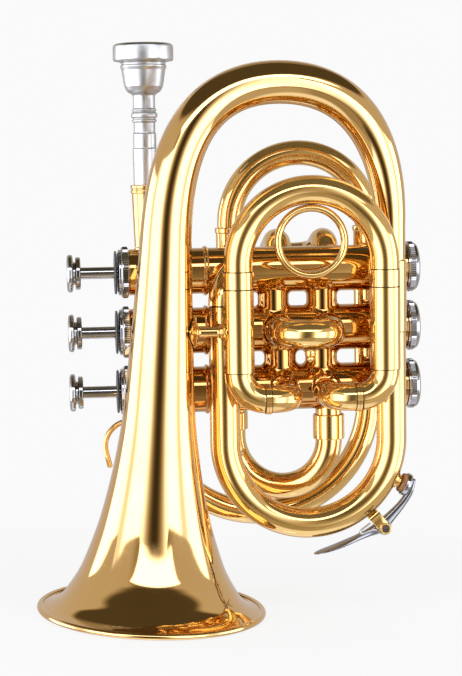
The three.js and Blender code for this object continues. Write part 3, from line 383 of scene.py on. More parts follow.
def end_tree(shape, metal):
    """The shape as real faces in their metal, which is what the tree makes"""
    whole = shape.node("GeometryNodeRealizeInstances", None, {0: shape})
    metalled = whole.node("GeometryNodeSetMaterial", None, {"Geometry": whole, "Material": metal})
    metalled.node("NodeGroupOutput", None, {0: metalled})


# Drawn tube: brass tube drawn over a mandrel, bent to its run. The tree sweeps a round section along the run.
draw, tube_keys, (run_in, sides_in, closed_in, metal_in) = new_tree(
    "drawn_tube", {"Run": "Geometry", "Sides": "Int", "Closed ends": "Bool", "Metal": "Material"})
bench = Tone(draw)
line = bench.node("GeometryNodeMeshToCurve", None, {0: run_in})
outside = bench.node("GeometryNodeInputNamedAttribute", {"data_type": "FLOAT"}, {"Name": "outside"})
section = bench.node("GeometryNodeCurvePrimitiveCircle", {"mode": "RADIUS"},
                     {"Resolution": sides_in, "Radius": 1.0})
swept = bench.node("GeometryNodeCurveToMesh", None,
                   {"Curve": line, "Profile Curve": section, "Scale": outside, "Fill Caps": closed_in})
end_tree(bench.node("GeometryNodeSetShadeSmooth", None, {0: swept}), metal_in)

WALL, TUBE_CREASE = 0.5, 32


def drawn_tube(name, run, material, sides=48, wall=WALL):
    """A tube along the run, or a solid rod where the wall is 0"""
    mesh = bpy.data.meshes.new(name)
    steps = [(i, i + 1) for i in range(len(run.points) - 1)]
    mesh.from_pydata([stance @ point for point in run.points], steps, [])
    sizes = [size / MM_PER_M for size in run.sizes]
    mesh.attributes.new("outside", "FLOAT", "POINT").data.foreach_set("value", sizes)
    piece = placed(name, mesh)
    sweep = piece.modifiers.new("sweep", "NODES")
    sweep.node_group = draw
    for key, value in zip(tube_keys[1:], (sides, wall == 0, material)):
        sweep[key] = value
    if wall:
        thick = piece.modifiers.new("wall", "SOLIDIFY")
        thick.thickness = wall / MM_PER_M
        thick.offset = -1
    return baked(piece, TUBE_CREASE)


def eased(outline, radius, steps=3):
    """A turned outline with its corners rounded, and a point beside each so that the flats stay flat"""
    MOST, BESIDE, STRAIGHT = 0.4, 1.2, -0.97
    shaped = []
    for i, corner in enumerate(outline):
        corner, before = Vector(corner), Vector(outline[i - 1])
        after = Vector(outline[(i + 1) % len(outline)])
        into, onward = (before - corner).normalized(), (after - corner).normalized()
        if corner.x == 0 or corner == before or corner == after or into.dot(onward) < STRAIGHT:
            shaped.append(corner)
            continue
        cut = min(radius, MOST * (before - corner).length, MOST * (after - corner).length)
        shaped.append(corner + into * cut * BESIDE)
        for k in range(steps + 1):
            t = k / steps
            shaped.append(corner + into * cut * (1 - t) ** 2 + onward * cut * t ** 2)
        shaped.append(corner + onward * cut * BESIDE)
    return shaped


def spun(name, outline, material, at, way=UP, sides=96, ease=0.2, crease=None):
    """A form turned on a lathe: pairs of radius and distance along its way, back to its start or between two
    points on the axis"""
    shaped = eased(outline, ease) if ease else [Vector(point) for point in outline]
    lie = Vector(way).to_track_quat("Z", "Y").to_matrix()
    points, rings = [], []
    for point in shaped:
        if abs(point.x) < 1e-9:
            rings.append([len(points)] * sides)
            points.append(Vector(at) + lie @ Vector((0, 0, point.y)))
            continue
        rings.append(range(len(points), len(points) + sides))
        for k in range(sides):
            angle = 2 * math.pi * k / sides
            round_axis = Vector((point.x * math.cos(angle), point.x * math.sin(angle), point.y))
            points.append(Vector(at) + lie @ round_axis)
    faces = []
    on_axis = abs(shaped[0].x) < 1e-9
    for i in range(len(rings) - 1 if on_axis else len(rings)):
        here, there = rings[i], rings[(i + 1) % len(rings)]
        for k in range(sides):
            corners = dict.fromkeys((here[k], here[(k + 1) % sides], there[(k + 1) % sides], there[k]))
            if len(corners) > 2:
                faces.append(tuple(corners))
    return made_mesh(name, points, faces, material, crease)


# Valve casings: three straight tubes with a turned ring where the upper and lower parts are joined, and
# threads at both ends under the caps. Their colour carries painted shade, less on the upper one than on the
# two below it.
VALVE_PITCH = 26.0
CASING, BORE, CASING_TOP, CASING_BOTTOM = 10.0, 9.1, -44.0, 77.2
NECK, NECK_LENGTH, THREAD_ROOT, THREAD_CREST, THREAD_STEP = 9.3, 3, 9.25, 9.5, 0.3
VALVES = [(1, VALVE_PITCH), (2, 0.0), (3, -VALVE_PITCH)]
ring = [(CASING, -12), (10.35, -12), (10.6, -11.6), (10.85, -11.3), (10.85, -10.7), (10.6, -10.4),
        (10.35, -10), (CASING, -10)]
thread = [(THREAD_ROOT if k % 2 else THREAD_CREST, CASING_BOTTOM + THREAD_STEP * (k + 1)) for k in range(9)]
outline = [(BORE, CASING_TOP - NECK_LENGTH), (NECK, CASING_TOP - NECK_LENGTH), (NECK, CASING_TOP),
           (CASING, CASING_TOP), *ring, (CASING, CASING_BOTTOM), *thread,
           (BORE, CASING_BOTTOM + NECK_LENGTH)]
for number, lift in VALVES:
    # Painted shade: the upper casing gets the lighter darkened copy, the two lower ones the darkest.
    metal = valve_gold_painted_shade if number == 1 else deep_gold_painted_shade
    casing = spun(f"valve_casing_{number}", outline, metal, (0, 0, lift), ACROSS, ease=0.12)
    settle(casing, f"casing_{number}")

# Valve caps: silvered, turned from bar. The top cap has a knurled grip below its stepped face. The bottom
# cap has a knurled band, a rounded shoulder and a hole for the air. The tree sets the ridges round a circle.
knurl, knurl_keys, (_, ridges_in, radius_in, ridge_in, width_in, metal_in) = new_tree(
    "knurled_band", {"Blank": "Geometry", "Ridges": "Int", "Radius": "Float", "Ridge": "Float",
                     "Width": "Float", "Metal": "Material"})
bench = Tone(knurl)
circle = bench.node("GeometryNodeMeshCircle", None, {"Vertices": ridges_in, "Radius": radius_in})
turned_by = bench.node("GeometryNodeInputIndex") * (2 * math.pi) * bench.sum("DIVIDE", 1.0, ridges_in)
spin = bench.node("ShaderNodeCombineXYZ", None, {2: turned_by + math.pi / 4})
bar = bench.node("ShaderNodeCombineXYZ", None, {0: ridge_in, 1: ridge_in, 2: width_in})
ridge = bench.node("GeometryNodeMeshCube", None, {"Size": bar})
rows = bench.node("GeometryNodeInstanceOnPoints", None,
                  {"Points": circle, "Instance": ridge, "Rotation": spin})
end_tree(rows, metal_in)

RIDGES, RIDGE_SHARE = 72, 0.62


def knurled(name, at, radius, width):
    """A nickel band of fine ridges round a valve cap, one mesh in place"""
    piece = placed(name, bpy.data.meshes.new(name))
    cut = piece.modifiers.new("knurl", "NODES")
    cut.node_group = knurl
    ridge_size = 2 * math.pi * radius / RIDGES * RIDGE_SHARE
    for key, value in zip(knurl_keys[1:], (RIDGES, radius, ridge_size, width, nickel)):
        cut[key] = value
    baked(piece)
    lie = ACROSS.to_track_quat("Z", "Y").to_matrix().to_4x4()
    piece.data.transform(stance @ Matrix.Translation(Vector(at)) @ lie)
    return piece


CAP_TOP, CAP_RING, CAP_BAND = -49.2, 10.75, 10.62
face = [(2.85, CAP_TOP), (8.2, CAP_TOP), (8.6, CAP_TOP + 0.25), (9.9, CAP_TOP + 0.45), (9.9, CAP_TOP + 1.5),
        (CAP_RING, CAP_TOP + 1.75), (CAP_RING, -44.6), (10.4, -44.35), (9.65, -44.35), (9.65, -47.35),
        (2.85, -47.35)]
shell = [(1.9, 81.5), (9.65, 81.5), (9.65, 77.55), (10.35, 77.55), (10.35, 78.3), (10.65, 78.5),
         (10.65, 80.9), (10.5, 81.2), (10.3, 81.9), (9.7, 82.5), (8.6, 82.9), (6.4, 83.0), (5.9, 82.6),
         (3.2, 82.6), (2.9, 82.9), (1.9, 82.9)]
for number, lift in VALVES:
    for cap, form, outline, ease, band_at, radius, width in (
            ("top_cap", "face", face, 0.25, -45.9, CAP_RING, 2.1),
            ("bottom_cap", "shell", shell, 0.2, 79.7, CAP_BAND, 2.0)):
        piece = spun(f"{cap}_{form}_{number}", outline, nickel, (0, 0, lift), ACROSS, ease=ease)
        settle(piece, f"{cap}_{number}", slot="silver_plate")
        settle(knurled(f"{cap}_knurl_{number}", (band_at, 0, lift), radius, width), slot="silver_plate")

# Felts: thick black felt washers that the buttons come down on.
felt, place, sockets = finish("black_felt", (0.012, 0.012, 0.013), 0, 0.95,
                              Sheen_Weight=0.4, Sheen_Roughness=0.6)
fibres = place.noise(2200.0, 6.0, 0.8)
fibres.fade(0.35, 0.75).blend((0.006, 0.006, 0.007), (0.035, 0.034, 0.033)).feed(sockets["Base Color"])
fibres.relief(0.8, 0.0003).feed(sockets["Normal"])
washer = [(2.85, -50.45), (9.4, -50.45), (9.4, -49.55), (2.85, -49.55)]
for number, lift in VALVES:
    piece = spun(f"felt_washer_{number}", washer, felt, (0, 0, lift), ACROSS, 64, 0.35)
    settle(piece, f"felt_{number}", slot="black_felt")

# Finger buttons and stems: the button screws on the stem. Its head is a rounded disc with a shallow dish
# for the fingertip, laid with shell, then a thin neck and the foot that meets the felt.
pearl, place, sockets = finish("pearl_shell", (0.86, 0.85, 0.82), 0, 0.18,
                               Coat_Weight=0.5, Coat_Roughness=0.05)
layers = place.node("ShaderNodeTexWave", {"wave_type": "BANDS"},
                    {"Vector": place, "Scale": 180.0, "Distortion": 14.0, "Detail": 3.0})
lustre = layers.node("ShaderNodeValToRGB", None, {0: layers})
stops = lustre.socket.node.color_ramp.elements
lights = [(0.0, (0.78, 0.77, 0.8)), (0.4, (0.93, 0.9, 0.85)),
          (0.7, (0.8, 0.88, 0.86)), (1.0, (0.95, 0.88, 0.88))]
while len(stops) < len(lights):
    stops.new(0.5)
for stop, (position, colour) in zip(stops, lights):
    stop.position = position
    stop.color = (*colour, 1)
lustre.feed(sockets["Base Color"])
head = [(0, -70.35), (5.6, -70.5), (5.75, -70.95), (6.6, -71.0), (7.5, -70.85), (8.05, -70.3), (8.2, -69.6),
        (8.1, -68.95), (7.5, -68.5), (6.0, -68.35), (5.0, -68.3), (4.9, -67.5), (5.0, -67.4), (6.6, -67.35),
        (7.05, -67.0), (7.05, -65.6), (6.7, -65.2), (2.85, -65.2), (2.85, -67.3), (0, -67.3)]
inlay = [(0, -70.62), (3.2, -70.68), (5.3, -70.86), (5.5, -70.75), (5.5, -70.4), (0, -70.3)]
stem = [(2.45, -67.0), (2.56, -67.0), (2.56, -45.8), (2.45, -45.8)]
for number, lift in VALVES:
    for form, outline, material, sides, ease, nodes in (
            ("finger_button", head, nickel, 96, 0.12, [f"button_{number}"]),
            ("button_shell", inlay, pearl, 64, 0.08, []),
            ("valve_stem", stem, nickel, 48, 0.03, [])):
        piece = spun(f"{form}_{number}", outline, material, (0, 0, lift), ACROSS, sides, ease)
        settle(piece, *nodes, body=f"piston_body_{number}", slot="silver_plate")

# Pistons, guides and springs keep their model's forms. They are monel grey, bare brass and drawn steel.
monel, place, sockets = finish("monel_piston", (0.62, 0.61, 0.58), 1, 0.22)
(0.16 + place.noise(700.0, 4.0) * 0.16).feed(sockets["Roughness"])
bare, place, sockets = finish("bare_brass", (0.72, 0.53, 0.25), 1, 0.3)
aged = place.noise(300.0, 4.0).fade(0.4, 0.7)
aged.blend((0.74, 0.55, 0.26), (0.58, 0.4, 0.18)).feed(sockets["Base Color"])
steel, place, sockets = finish("spring_wire", (0.6, 0.6, 0.58), 1, 0.25)
(0.18 + place.noise(1800.0, 2.0) * 0.18).feed(sockets["Roughness"])
for number, lift in VALVES:
    for kind, material in (("piston", monel), ("valve_guide", bare), ("valve_spring", steel)):
        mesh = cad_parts[f"{kind}_{number}"].data
        mesh.materials.clear()
        mesh.materials.append(material)


def braze(name, x, lift, way, tube, size):
    """A fillet of braze round the foot of a tube that leaves a casing at x along way"""
    SIDES, ROWS, BURIED, UNDER = 64, 7, 0.35, 0.3
    way = Vector(way).normalized()
    side = way.cross(ACROSS)
    section = []
    for j in range(ROWS + 1):
        turn = j / ROWS * math.pi / 2
        section.append((tube + size * (1 - math.cos(turn)), size * (1 - math.sin(turn))))
    section += [(tube + size, -BURIED), (tube - UNDER, -BURIED)]
    points, faces, count = [], [], len(section)
    for k in range(SIDES):
        angle = 2 * math.pi * k / SIDES
        for j, (reach, rise) in enumerate(section):
            across = reach * math.sin(angle)
            surface = math.sqrt(CASING ** 2 - across ** 2)
            on_axis = Vector((x + reach * math.cos(angle), 0, lift))
            points.append(on_axis + side * across + way * (surface + rise))
            here, there, onward = k * count, (k + 1) % SIDES * count, (j + 1) % count
            faces.append((here + j, here + onward, there + onward, there + j))
    # Every braze takes the darkest lacquer, its colour a painted shade.
    settle(made_mesh(name, points, faces, deep_gold_painted_shade, 50))


# Knuckles: short tubes between neighbouring casings, brazed at both ends. The lower two have wider collars.
KNUCKLE_START, KNUCKLE_LENGTH = -6.5, 13
for row, joined, lift, ports, size, collar, first in (
        ("upper", "12", VALVE_PITCH, (18.9, 40.4), 6.8, 1.6, 1),
        ("lower", "23", 0.0, (21.6, 39.9), 7.0, 2.2, 3)):
    for i, x in enumerate(ports):
        run = Run((x, 0, lift + KNUCKLE_START), -UP, size).go(KNUCKLE_LENGTH)
        # The knuckles take the darkest lacquer: painted shade between the casings.
        settle(drawn_tube(f"knuckle_{row}_{i + 1}", run, deep_gold_painted_shade), f"knuckle_{joined}_{i + 1}")
        braze(f"knuckle_braze_{i + first}a", x, lift, -UP, size, collar)
        braze(f"knuckle_braze_{i + first}b", x, lift - VALVE_PITCH, UP, size, collar)

# Mouthpiece: turned from one bar and silver plated. A wide cushioned rim, a bowl with its cup inside, beads
# on the stem, and a tapered shank that wedges in the receiver.
LEAD_PLANE, LEAD_X = 17.0, -35.3
socket_at = (LEAD_X + 0.2, LEAD_PLANE, 0)
outside = [(3.75, 40), (4.4, 40), (5.2, 63.6), (5.38, 79.1), (5.35, 79.5), (5.1, 79.8), (5.1, 86.0),
           (4.85, 86.4), (4.75, 86.8), (4.75, 90.8), (4.9, 91.0), (5.45, 91.4), (5.5, 91.9), (5.0, 92.4),
           (5.1, 92.8), (5.75, 93.4), (5.85, 94.3), (5.7, 95.0), (4.95, 95.6), (5.1, 95.9), (5.45, 96.2),
           (5.4, 96.7), (4.9, 97.1), (4.85, 99.5), (4.85, 102.0), (5.0, 102.8), (5.5, 103.4), (6.7, 104.0),
           (7.7, 105.0), (8.5, 106.7), (8.95, 109.0), (9.3, 111.5), (9.65, 113.9), (10.2, 115.2),
           (10.2, 115.7), (9.75, 116.1), (9.7, 116.6), (9.9, 117.1), (11.4, 117.6), (13.0, 117.8),
           (13.25, 118.3), (13.3, 119.0), (13.3, 123.6), (13.15, 124.3), (12.7, 124.9), (12.0, 125.28),
           (11.2, 125.42), (10.4, 125.44)]
cup = [(9.7, 125.26), (9.1, 124.9), (8.6, 124.2), (8.3, 123.2), (8.1, 121.6), (7.8, 119.4), (7.2, 117.4),
       (6.3, 115.6), (5.0, 114.0), (3.5, 112.9), (2.4, 112.3), (1.9, 111.4), (1.9, 108), (2.3, 90),
       (3.0, 65)]
mouthpiece = spun("mouthpiece_turned", outside + cup, silver, socket_at, ease=0.12)
settle(mouthpiece, "mouthpiece", body="mouthpiece_body", slot="silver_plate")

# Mouthpiece receiver: a tapered brass socket with two turned rings at its mouth.
receiver = [(4.9, 36.25), (5.4, 36.25), (6.25, 59.8), (6.45, 60.0), (6.75, 60.3), (6.75, 60.9),
            (6.45, 61.2), (6.4, 61.6), (6.55, 61.9), (6.75, 62.2), (6.75, 63.2), (6.6, 63.6), (5.6, 63.6),
            (4.9, 41)]
settle(spun("receiver_socket", receiver, gold, socket_at, ease=0.12), "mouthpiece_receiver")

# Leadpipe: from the receiver down behind the bell, round the big arc and up to the tuning slide's far tube.
TUNING_NEAR, TUNING_FAR, ARC_SPRING = 1.9, 64.0, -35.3
LEAD_TUBE, LEAD_TOP, LEAD_END = 5.4, 35.9, -22
ARC = (TUNING_FAR - LEAD_X) / 2
run = Run((LEAD_X, LEAD_PLANE, LEAD_TOP), -UP, LEAD_TUBE).go(LEAD_TOP - ARC_SPRING).bend(ARC, 180, ACROSS)
settle(drawn_tube("leadpipe_tube", run.go(LEAD_END - ARC_SPRING), gold), "leadpipe")


def bow_run(start, way, width, leg, bow, length, neck=0.2, step=5):
    """A slide's bow: a slim leg that draws out of its tube, the thicker bend, and the other leg"""
    run = Run(start, way, leg).go(length).shoulder(bow).go(neck).bend(width / 2, 180, ACROSS, step)
    return run.go(neck).shoulder(leg).go(length)


# Tuning slide: two outer tubes with a turned ring at each mouth, and the bow whose legs draw out of them.
TUNING_LEG, TUNING_BOW, TUNING_FOOT, TUNING_REACH = 5.25, 5.5, -10, 54.3
for name, x, foot in (("near", TUNING_NEAR, -44.0), ("far", TUNING_FAR, -21.65)):
    outer = [(5.6, foot), (6.1, foot), (6.1, 41.5), (6.35, 41.6), (6.6, 41.9), (6.6, 43.6), (6.4, 44),
             (5.6, 44)]
    sleeve = spun(f"tuning_sleeve_{name}", outer, gold, (x, LEAD_PLANE, 0), UP, 64, 0.1)
    settle(sleeve, f"tuning_outer_{name}")
run = bow_run((TUNING_NEAR, LEAD_PLANE, TUNING_FOOT), UP, TUNING_FAR - TUNING_NEAR, TUNING_LEG, TUNING_BOW,
              TUNING_REACH, 1.3, 4)
settle(drawn_tube("tuning_bow_tube", run, gold), "tuning_bow", body="tuning_slide")

# Return bow: from the tuning slide's near tube under the valves and up into the third valve, with a ferrule
# at each end.
INLET, RETURN_TUBE, RETURN_TOP = 42.95, 5.8, -44.35
toward = Vector((INLET - TUNING_NEAR, -LEAD_PLANE, 0))
run = Run((TUNING_NEAR, LEAD_PLANE, RETURN_TOP), -UP, RETURN_TUBE).go(5.15)
run.bend(toward.length / 2, 180, toward).go(15.5)
settle(drawn_tube("return_bow_tube", run, gold), "return_bow")
for name, x, y, foot in (("return_ferrule", TUNING_NEAR, LEAD_PLANE, -46.5),
                         ("inlet_ferrule", INLET, 0, -49.5)):
    sleeve = [(6.3, foot), (6.75, foot), (6.95, foot + 0.3), (6.95, -38.9), (6.75, -38.6), (6.3, -38.6)]
    settle(spun(f"{name}_ring", sleeve, gold, (x, y, 0), UP, 64, 0.15), name)
braze("inlet_braze", INLET, -VALVE_PITCH, -UP, RETURN_TUBE, 0.8)


def smoothed(knots, each, held=False):
    """Points on a smooth curve through the knots. Held, the curve eases in and out at its two ends"""
    knots = [Vector(knot) for knot in knots]
    before, after = knots[0] * 2 - knots[1], knots[-1] * 2 - knots[-2]
    if held:
        before, after = knots[0], knots[-1]
    ends = [before, *knots, after]
    points = []
    for a, b, c, d in zip(ends, ends[1:], ends[2:], ends[3:]):
        for k in range(each):
            t = k / each
            square, cube = 2 * a - 5 * b + 4 * c - d, 3 * b - a - 3 * c + d
            points.append(0.5 * (2 * b + (c - a) * t + square * t * t + cube * t ** 3))
    return points + [knots[-1]]


# Bell: beaten from sheet brass and spun, its rim rolled over a wire. It flares ever faster towards the rim.
BELL_WALL, BEAD, BEAD_AT, BELL_LENGTH = 0.6, 1.35, 47.38, 158.9
flare = [(46.9, 2.0), (45.2, 2.35), (42.0, 3.6), (38.5, 6.2), (35.7, 10.2), (32.6, 15.2), (30.1, 20.3),
         (26.4, 30.4), (23.3, 40.4), (19.8, 55.4), (17.15, 70.4), (15.25, 85.4), (13.6, 110.4),
         (12.15, 135.4), (10.88, 159.2)]
outer_curve = smoothed(flare, 6)
inner_curve = [point - Vector((0.9, 0.25)) * BELL_WALL for point in outer_curve[::-1]]
turns = [math.radians(degrees) for degrees in range(-160, 150, 15)]
bead = [Vector((BEAD_AT + BEAD * math.cos(turn), BEAD + BEAD * math.sin(turn))) for turn in turns]
profile = [*bead, *outer_curve, *inner_curve]
settle(spun("bell_spun", profile, bell_gold, BELL_FOOT, UPRIGHT, 160, 0, 40), "bell")

# Bell bow: a tapered tube over the top, from the bell's end down to the sleeve on the right.
BELL_END = BELL_FOOT + UPRIGHT * BELL_LENGTH
CROWN, OVER = Vector((19.5, -22.5, 106.2)), Vector((1, 0.1127, 0)).normalized()
LOOP_FAR, LOOP_NEAR, LOOP_PLANE, LOOP = 67.8, -5.0, -17.0, 6.5
BOW_END = Vector((LOOP_FAR, LOOP_PLANE, 44))
HANDLE, CROWN_SIZE, BOW_START, BOW_LEG, STEPS = 0.65, 9.15, 10.9, 5.65, 26
rise = (CROWN.z - BELL_END.z) * HANDLE
reach = (CROWN.x - BELL_END.x) * HANDLE
fall = (CROWN.z - BOW_END.z) * HANDLE
far_reach = (BOW_END.x - CROWN.x) * HANDLE
shares = [(i + 1) / STEPS for i in range(STEPS)]
up_sizes = [BOW_START + (CROWN_SIZE - BOW_START) * (1 - (1 - share) ** 2.2) for share in shares]
down_sizes = [CROWN_SIZE + (LOOP - CROWN_SIZE) * share ** 2 for share in shares]
run = Run(BELL_END, UPRIGHT, BOW_START)
run.curve((BELL_END, BELL_END + UPRIGHT * rise, CROWN - OVER * reach, CROWN), up_sizes)
run.curve((CROWN, CROWN + OVER * far_reach, BOW_END + UP * fall, BOW_END), down_sizes)
run.go(13.7).shoulder(BOW_LEG).go(15.7)
settle(drawn_tube("bell_bow_tube", run, bell_gold, 64), "bell_bow")

# Bell loop: from the sleeve down round the front arc and up to the elbow. The sleeve hides both tubes' ends.
LOOP_SPRING, LOOP_TOP, ELBOW, ELBOW_WAY = -47.4, 11.5, 12.5, math.radians(50)
LOOP_ARC = (LOOP_FAR - LOOP_NEAR) / 2
sleeve = [(6.35, -0.9), (6.7, -0.9), (6.9, -0.65), (6.9, 29.55), (6.7, 29.8), (6.35, 29.8)]
settle(spun("loop_sleeve_tube", sleeve, gold, (LOOP_FAR, LOOP_PLANE, 0), UP, 64, 0.12), "loop_sleeve")
run = Run((LOOP_FAR, LOOP_PLANE, 13.65), -UP, 6.0).go(14.7).shoulder(LOOP).go(46.2)
run.bend(LOOP_ARC, 180, -ACROSS, step=3).go(LOOP_TOP - LOOP_SPRING)
settle(drawn_tube("bell_loop_tube", run, gold), "bell_loop")
inward = Vector((math.cos(ELBOW_WAY), math.sin(ELBOW_WAY), 0))
run = Run((LOOP_NEAR, LOOP_PLANE, LOOP_TOP + 0.35), UP, LOOP).bend(ELBOW, 90, inward, step=5).go(5)
settle(drawn_tube("valve_elbow_tube", run, gold), "valve_elbow")

# Slide grease: a dark film that fills the joint between two tubes.
grease = finish("slide_grease", (0.03, 0.017, 0.006), 0, 0.45)[0]


def joint(name, at, radius, body="instrument", way=UP, wide=0.34, deep=0.6):
    """A ring of that film round a tube"""
    ring = [(radius - deep, 0), (radius, 0), (radius, wide), (radius - deep, wide)]
    settle(spun(name, ring, grease, at, way, 64, 0.05), body=body)


# Third slide: two fixed sleeves that turn in under the valve, and the long bow that draws up by its finger
# ring. The sleeves' elbows carry a ring where the two tubes of the joint meet.
THIRD_PLANE, THIRD_FAR, THIRD_PORTS = -31.0, 62.6, (21.9, 40.7)
SLEEVE, SLEEVE_TOP, SLEEVE_REACH, SLEEVE_NECK = 6.55, 19.2, 34.65, 5.3
BEND, BEND_RING, RING_GROOVE, LOWER_BEND, UPPER_BEND = 5.9, 6.35, 6.1, 11.4, 9
FILM, FILM_WIDE = 6.05, 0.22
for name, x, port, side in (("near", 0.0, THIRD_PORTS[0], 1), ("far", THIRD_FAR, THIRD_PORTS[1], -1)):
    turn_in = ACROSS * side
    across = abs(port - x) - LOWER_BEND - UPPER_BEND
    run = Run((x, THIRD_PLANE, SLEEVE_TOP), -UP, SLEEVE).go(SLEEVE_REACH).groove(SLEEVE_NECK, BEND)
    run.bend(LOWER_BEND, 90, turn_in, step=5).go(across - 2.2)
    film_at = run.points[-1] - turn_in * FILM_WIDE
    joint(f"third_elbow_{name}_start", film_at, FILM, way=turn_in, wide=FILM_WIDE)
    run.shoulder(BEND_RING).go(1.0).shoulder(RING_GROOVE, 0.08).shoulder(BEND_RING, 0.08).go(1.0)
    run.shoulder(BEND)
    joint(f"third_elbow_{name}_end", run.points[-1], FILM, way=turn_in, wide=FILM_WIDE)
    run.bend(UPPER_BEND, 90, AWAY, step=5).go(14)
    settle(drawn_tube(f"third_sleeve_{name}", run, gold), f"third_outer_{name}")
    braze(f"third_braze_{name}", port, -VALVE_PITCH, -AWAY, BEND, 1.1)
THIRD_LEG, LEG_REACH, COLLAR_REACH, COLLAR_NECK, THIRD_BOW = 5.6, 31.6, 6.9, 5.5, 6.1
run = Run((0, THIRD_PLANE, -12), UP, THIRD_LEG).go(LEG_REACH).shoulder(SLEEVE).go(COLLAR_REACH)
run.groove(COLLAR_NECK, THIRD_BOW).go(2.5).bend(THIRD_FAR / 2, 180, ACROSS, step=3.5).go(2.5)
run.groove(COLLAR_NECK, SLEEVE).go(COLLAR_REACH).shoulder(THIRD_LEG).go(LEG_REACH)
settle(drawn_tube("third_bow_tube", run, gold), "third_bow", body="third_slide")
for name, x in (("near", 0.0), ("far", THIRD_FAR)):
    joint(f"third_joint_{name}_low", (x, THIRD_PLANE, -15.83), 6.1)
    joint(f"third_joint_{name}_middle", (x, THIRD_PLANE, 19.22), 6.42)
    joint(f"third_joint_{name}_high", (x, THIRD_PLANE, 26.7), 6.2, "third_slide")
RING, RING_WIRE, BOW_SPRING, RING_GAP = 14.2, 1.6, 30, 0.35
ring_top = BOW_SPRING + THIRD_FAR / 2 - THIRD_BOW - RING_GAP
ring_at = Vector((THIRD_FAR / 2, THIRD_PLANE, ring_top - RING - RING_WIRE))
turns = [a * math.pi / 12 for a in range(24)]
wire = [(RING + RING_WIRE * math.cos(turn), 1.25 * RING_WIRE * math.sin(turn)) for turn in turns]
settle(spun("finger_ring_wire", wire, gold, ring_at, AWAY, 96, 0), "finger_ring", body="third_slide")

# Second slide: short, in front of the second valve, with a knob to pull it by.
SECOND_PORTS, SECOND_TUBE, SECOND_LEG, SECOND_BOW = (19.6, 41.0), 6.4, 5.5, 6.1
for i, x in enumerate(SECOND_PORTS):
    run = Run((x, -9, 0), -AWAY, SECOND_TUBE).go(10.86)
    settle(drawn_tube(f"second_sleeve_{i + 1}", run, gold), f"second_outer_{i + 1}")
    braze(f"second_braze_{i + 1}", x, 0, -AWAY, SECOND_TUBE, 1.2)
start, width = (SECOND_PORTS[0], -11.2, 0), SECOND_PORTS[1] - SECOND_PORTS[0]
run = bow_run(start, -AWAY, width, SECOND_LEG, SECOND_BOW, 9.0)
settle(drawn_tube("second_bow_tube", run, gold), "second_bow", body="second_slide")
knob = [(0, -5.3), (1.2, -5.2), (1.9, -4.7), (2.15, -4.0), (1.95, -3.4), (1.5, -3.1), (1.9, -2.8),
        (2.35, -2.5), (2.4, -2.0), (2.15, -1.6), (2.1, -0.7), (2.4, -0.2), (3.0, 0.15), (0, 0.15)]
knob_at = Vector((30.3, -31.4, -6.45))
settle(spun("second_knob_turned", knob, gold, knob_at, UP, 48, 0.1), "second_knob", body="second_slide")

# First slide: behind the first valve, its sleeves turned away from it, drawn by the thumb.
FIRST_PORTS, FIRST_TUBE, FIRST_LEG, FIRST_BOW = (22.6, 43.5), 5.9, 5.0, 5.6
FIRST_LENGTH, FIRST_GAP, SLOPE = 10.45, 0.1, math.sqrt(0.5)
rising, inward = Vector((0, SLOPE, SLOPE)), Vector((0, SLOPE, -SLOPE))
for i, x in enumerate(FIRST_PORTS):
    run = Run(Vector((x, 0, VALVE_PITCH)) + rising * 9, rising, FIRST_TUBE).go(3.25)
    run.bend(9, 62, inward, step=5).go(12)
    first_mouth, first_way = run.points[-1].copy(), run.heading.copy()
    settle(drawn_tube(f"first_sleeve_{i + 1}", run, gold), f"first_outer_{i + 1}")
    braze(f"first_braze_{i + 1}", x, VALVE_PITCH, rising, FIRST_TUBE, 0.9)
start = Vector((FIRST_PORTS[0], first_mouth.y, first_mouth.z)) + first_way * (FIRST_GAP - 10.5)
run = bow_run(start, first_way, FIRST_PORTS[1] - FIRST_PORTS[0], FIRST_LEG, FIRST_BOW, FIRST_LENGTH)
settle(drawn_tube("first_bow_tube", run, gold), "first_bow", body="first_slide")


def leaf(name, centre, facing, radius, tall, wide, thick):
    """A leaf shaped saddle on a tube's side, thickest at its middle"""
    ROWS, COLUMNS, BURIED, EDGE, EDGE_HALF = 18, 10, 0.3, 0.12, 0.15
    level = facing.cross(UP).normalized()
    row, sheet = COLUMNS + 1, (ROWS + 1) * (COLUMNS + 1)
    points, faces = [], []
    for layer in (0, 1):
        for i in range(ROWS + 1):
            s = i / ROWS * 2 - 1
            half = wide / 2 * (1 - abs(s) ** 1.6) ** 0.8 + EDGE_HALF
            for j in range(COLUMNS + 1):
                t = j / COLUMNS * 2 - 1
                angle = half * t / radius
                swell = thick * (1 - 0.75 * t * t) * (1 - 0.6 * s * s) + EDGE if layer else -BURIED
                out = facing * math.cos(angle) + level * math.sin(angle)
                points.append(centre + UP * (s * tall / 2) + out * (radius + swell))
                if i < ROWS and j < COLUMNS:
                    a = layer * sheet + i * row + j
                    faces.append((a, a + 1, a + row + 1, a + row))
    edge = [*range(COLUMNS), *(i * row + COLUMNS for i in range(ROWS)),
            *(ROWS * row + j for j in range(COLUMNS, 0, -1)), *(i * row for i in range(ROWS, 0, -1))]
    for a, b in zip(edge, edge[1:] + edge[:1]):
        faces.append((a, b, sheet + b, sheet + a))
    return made_mesh(name, points, faces, gold, 40)


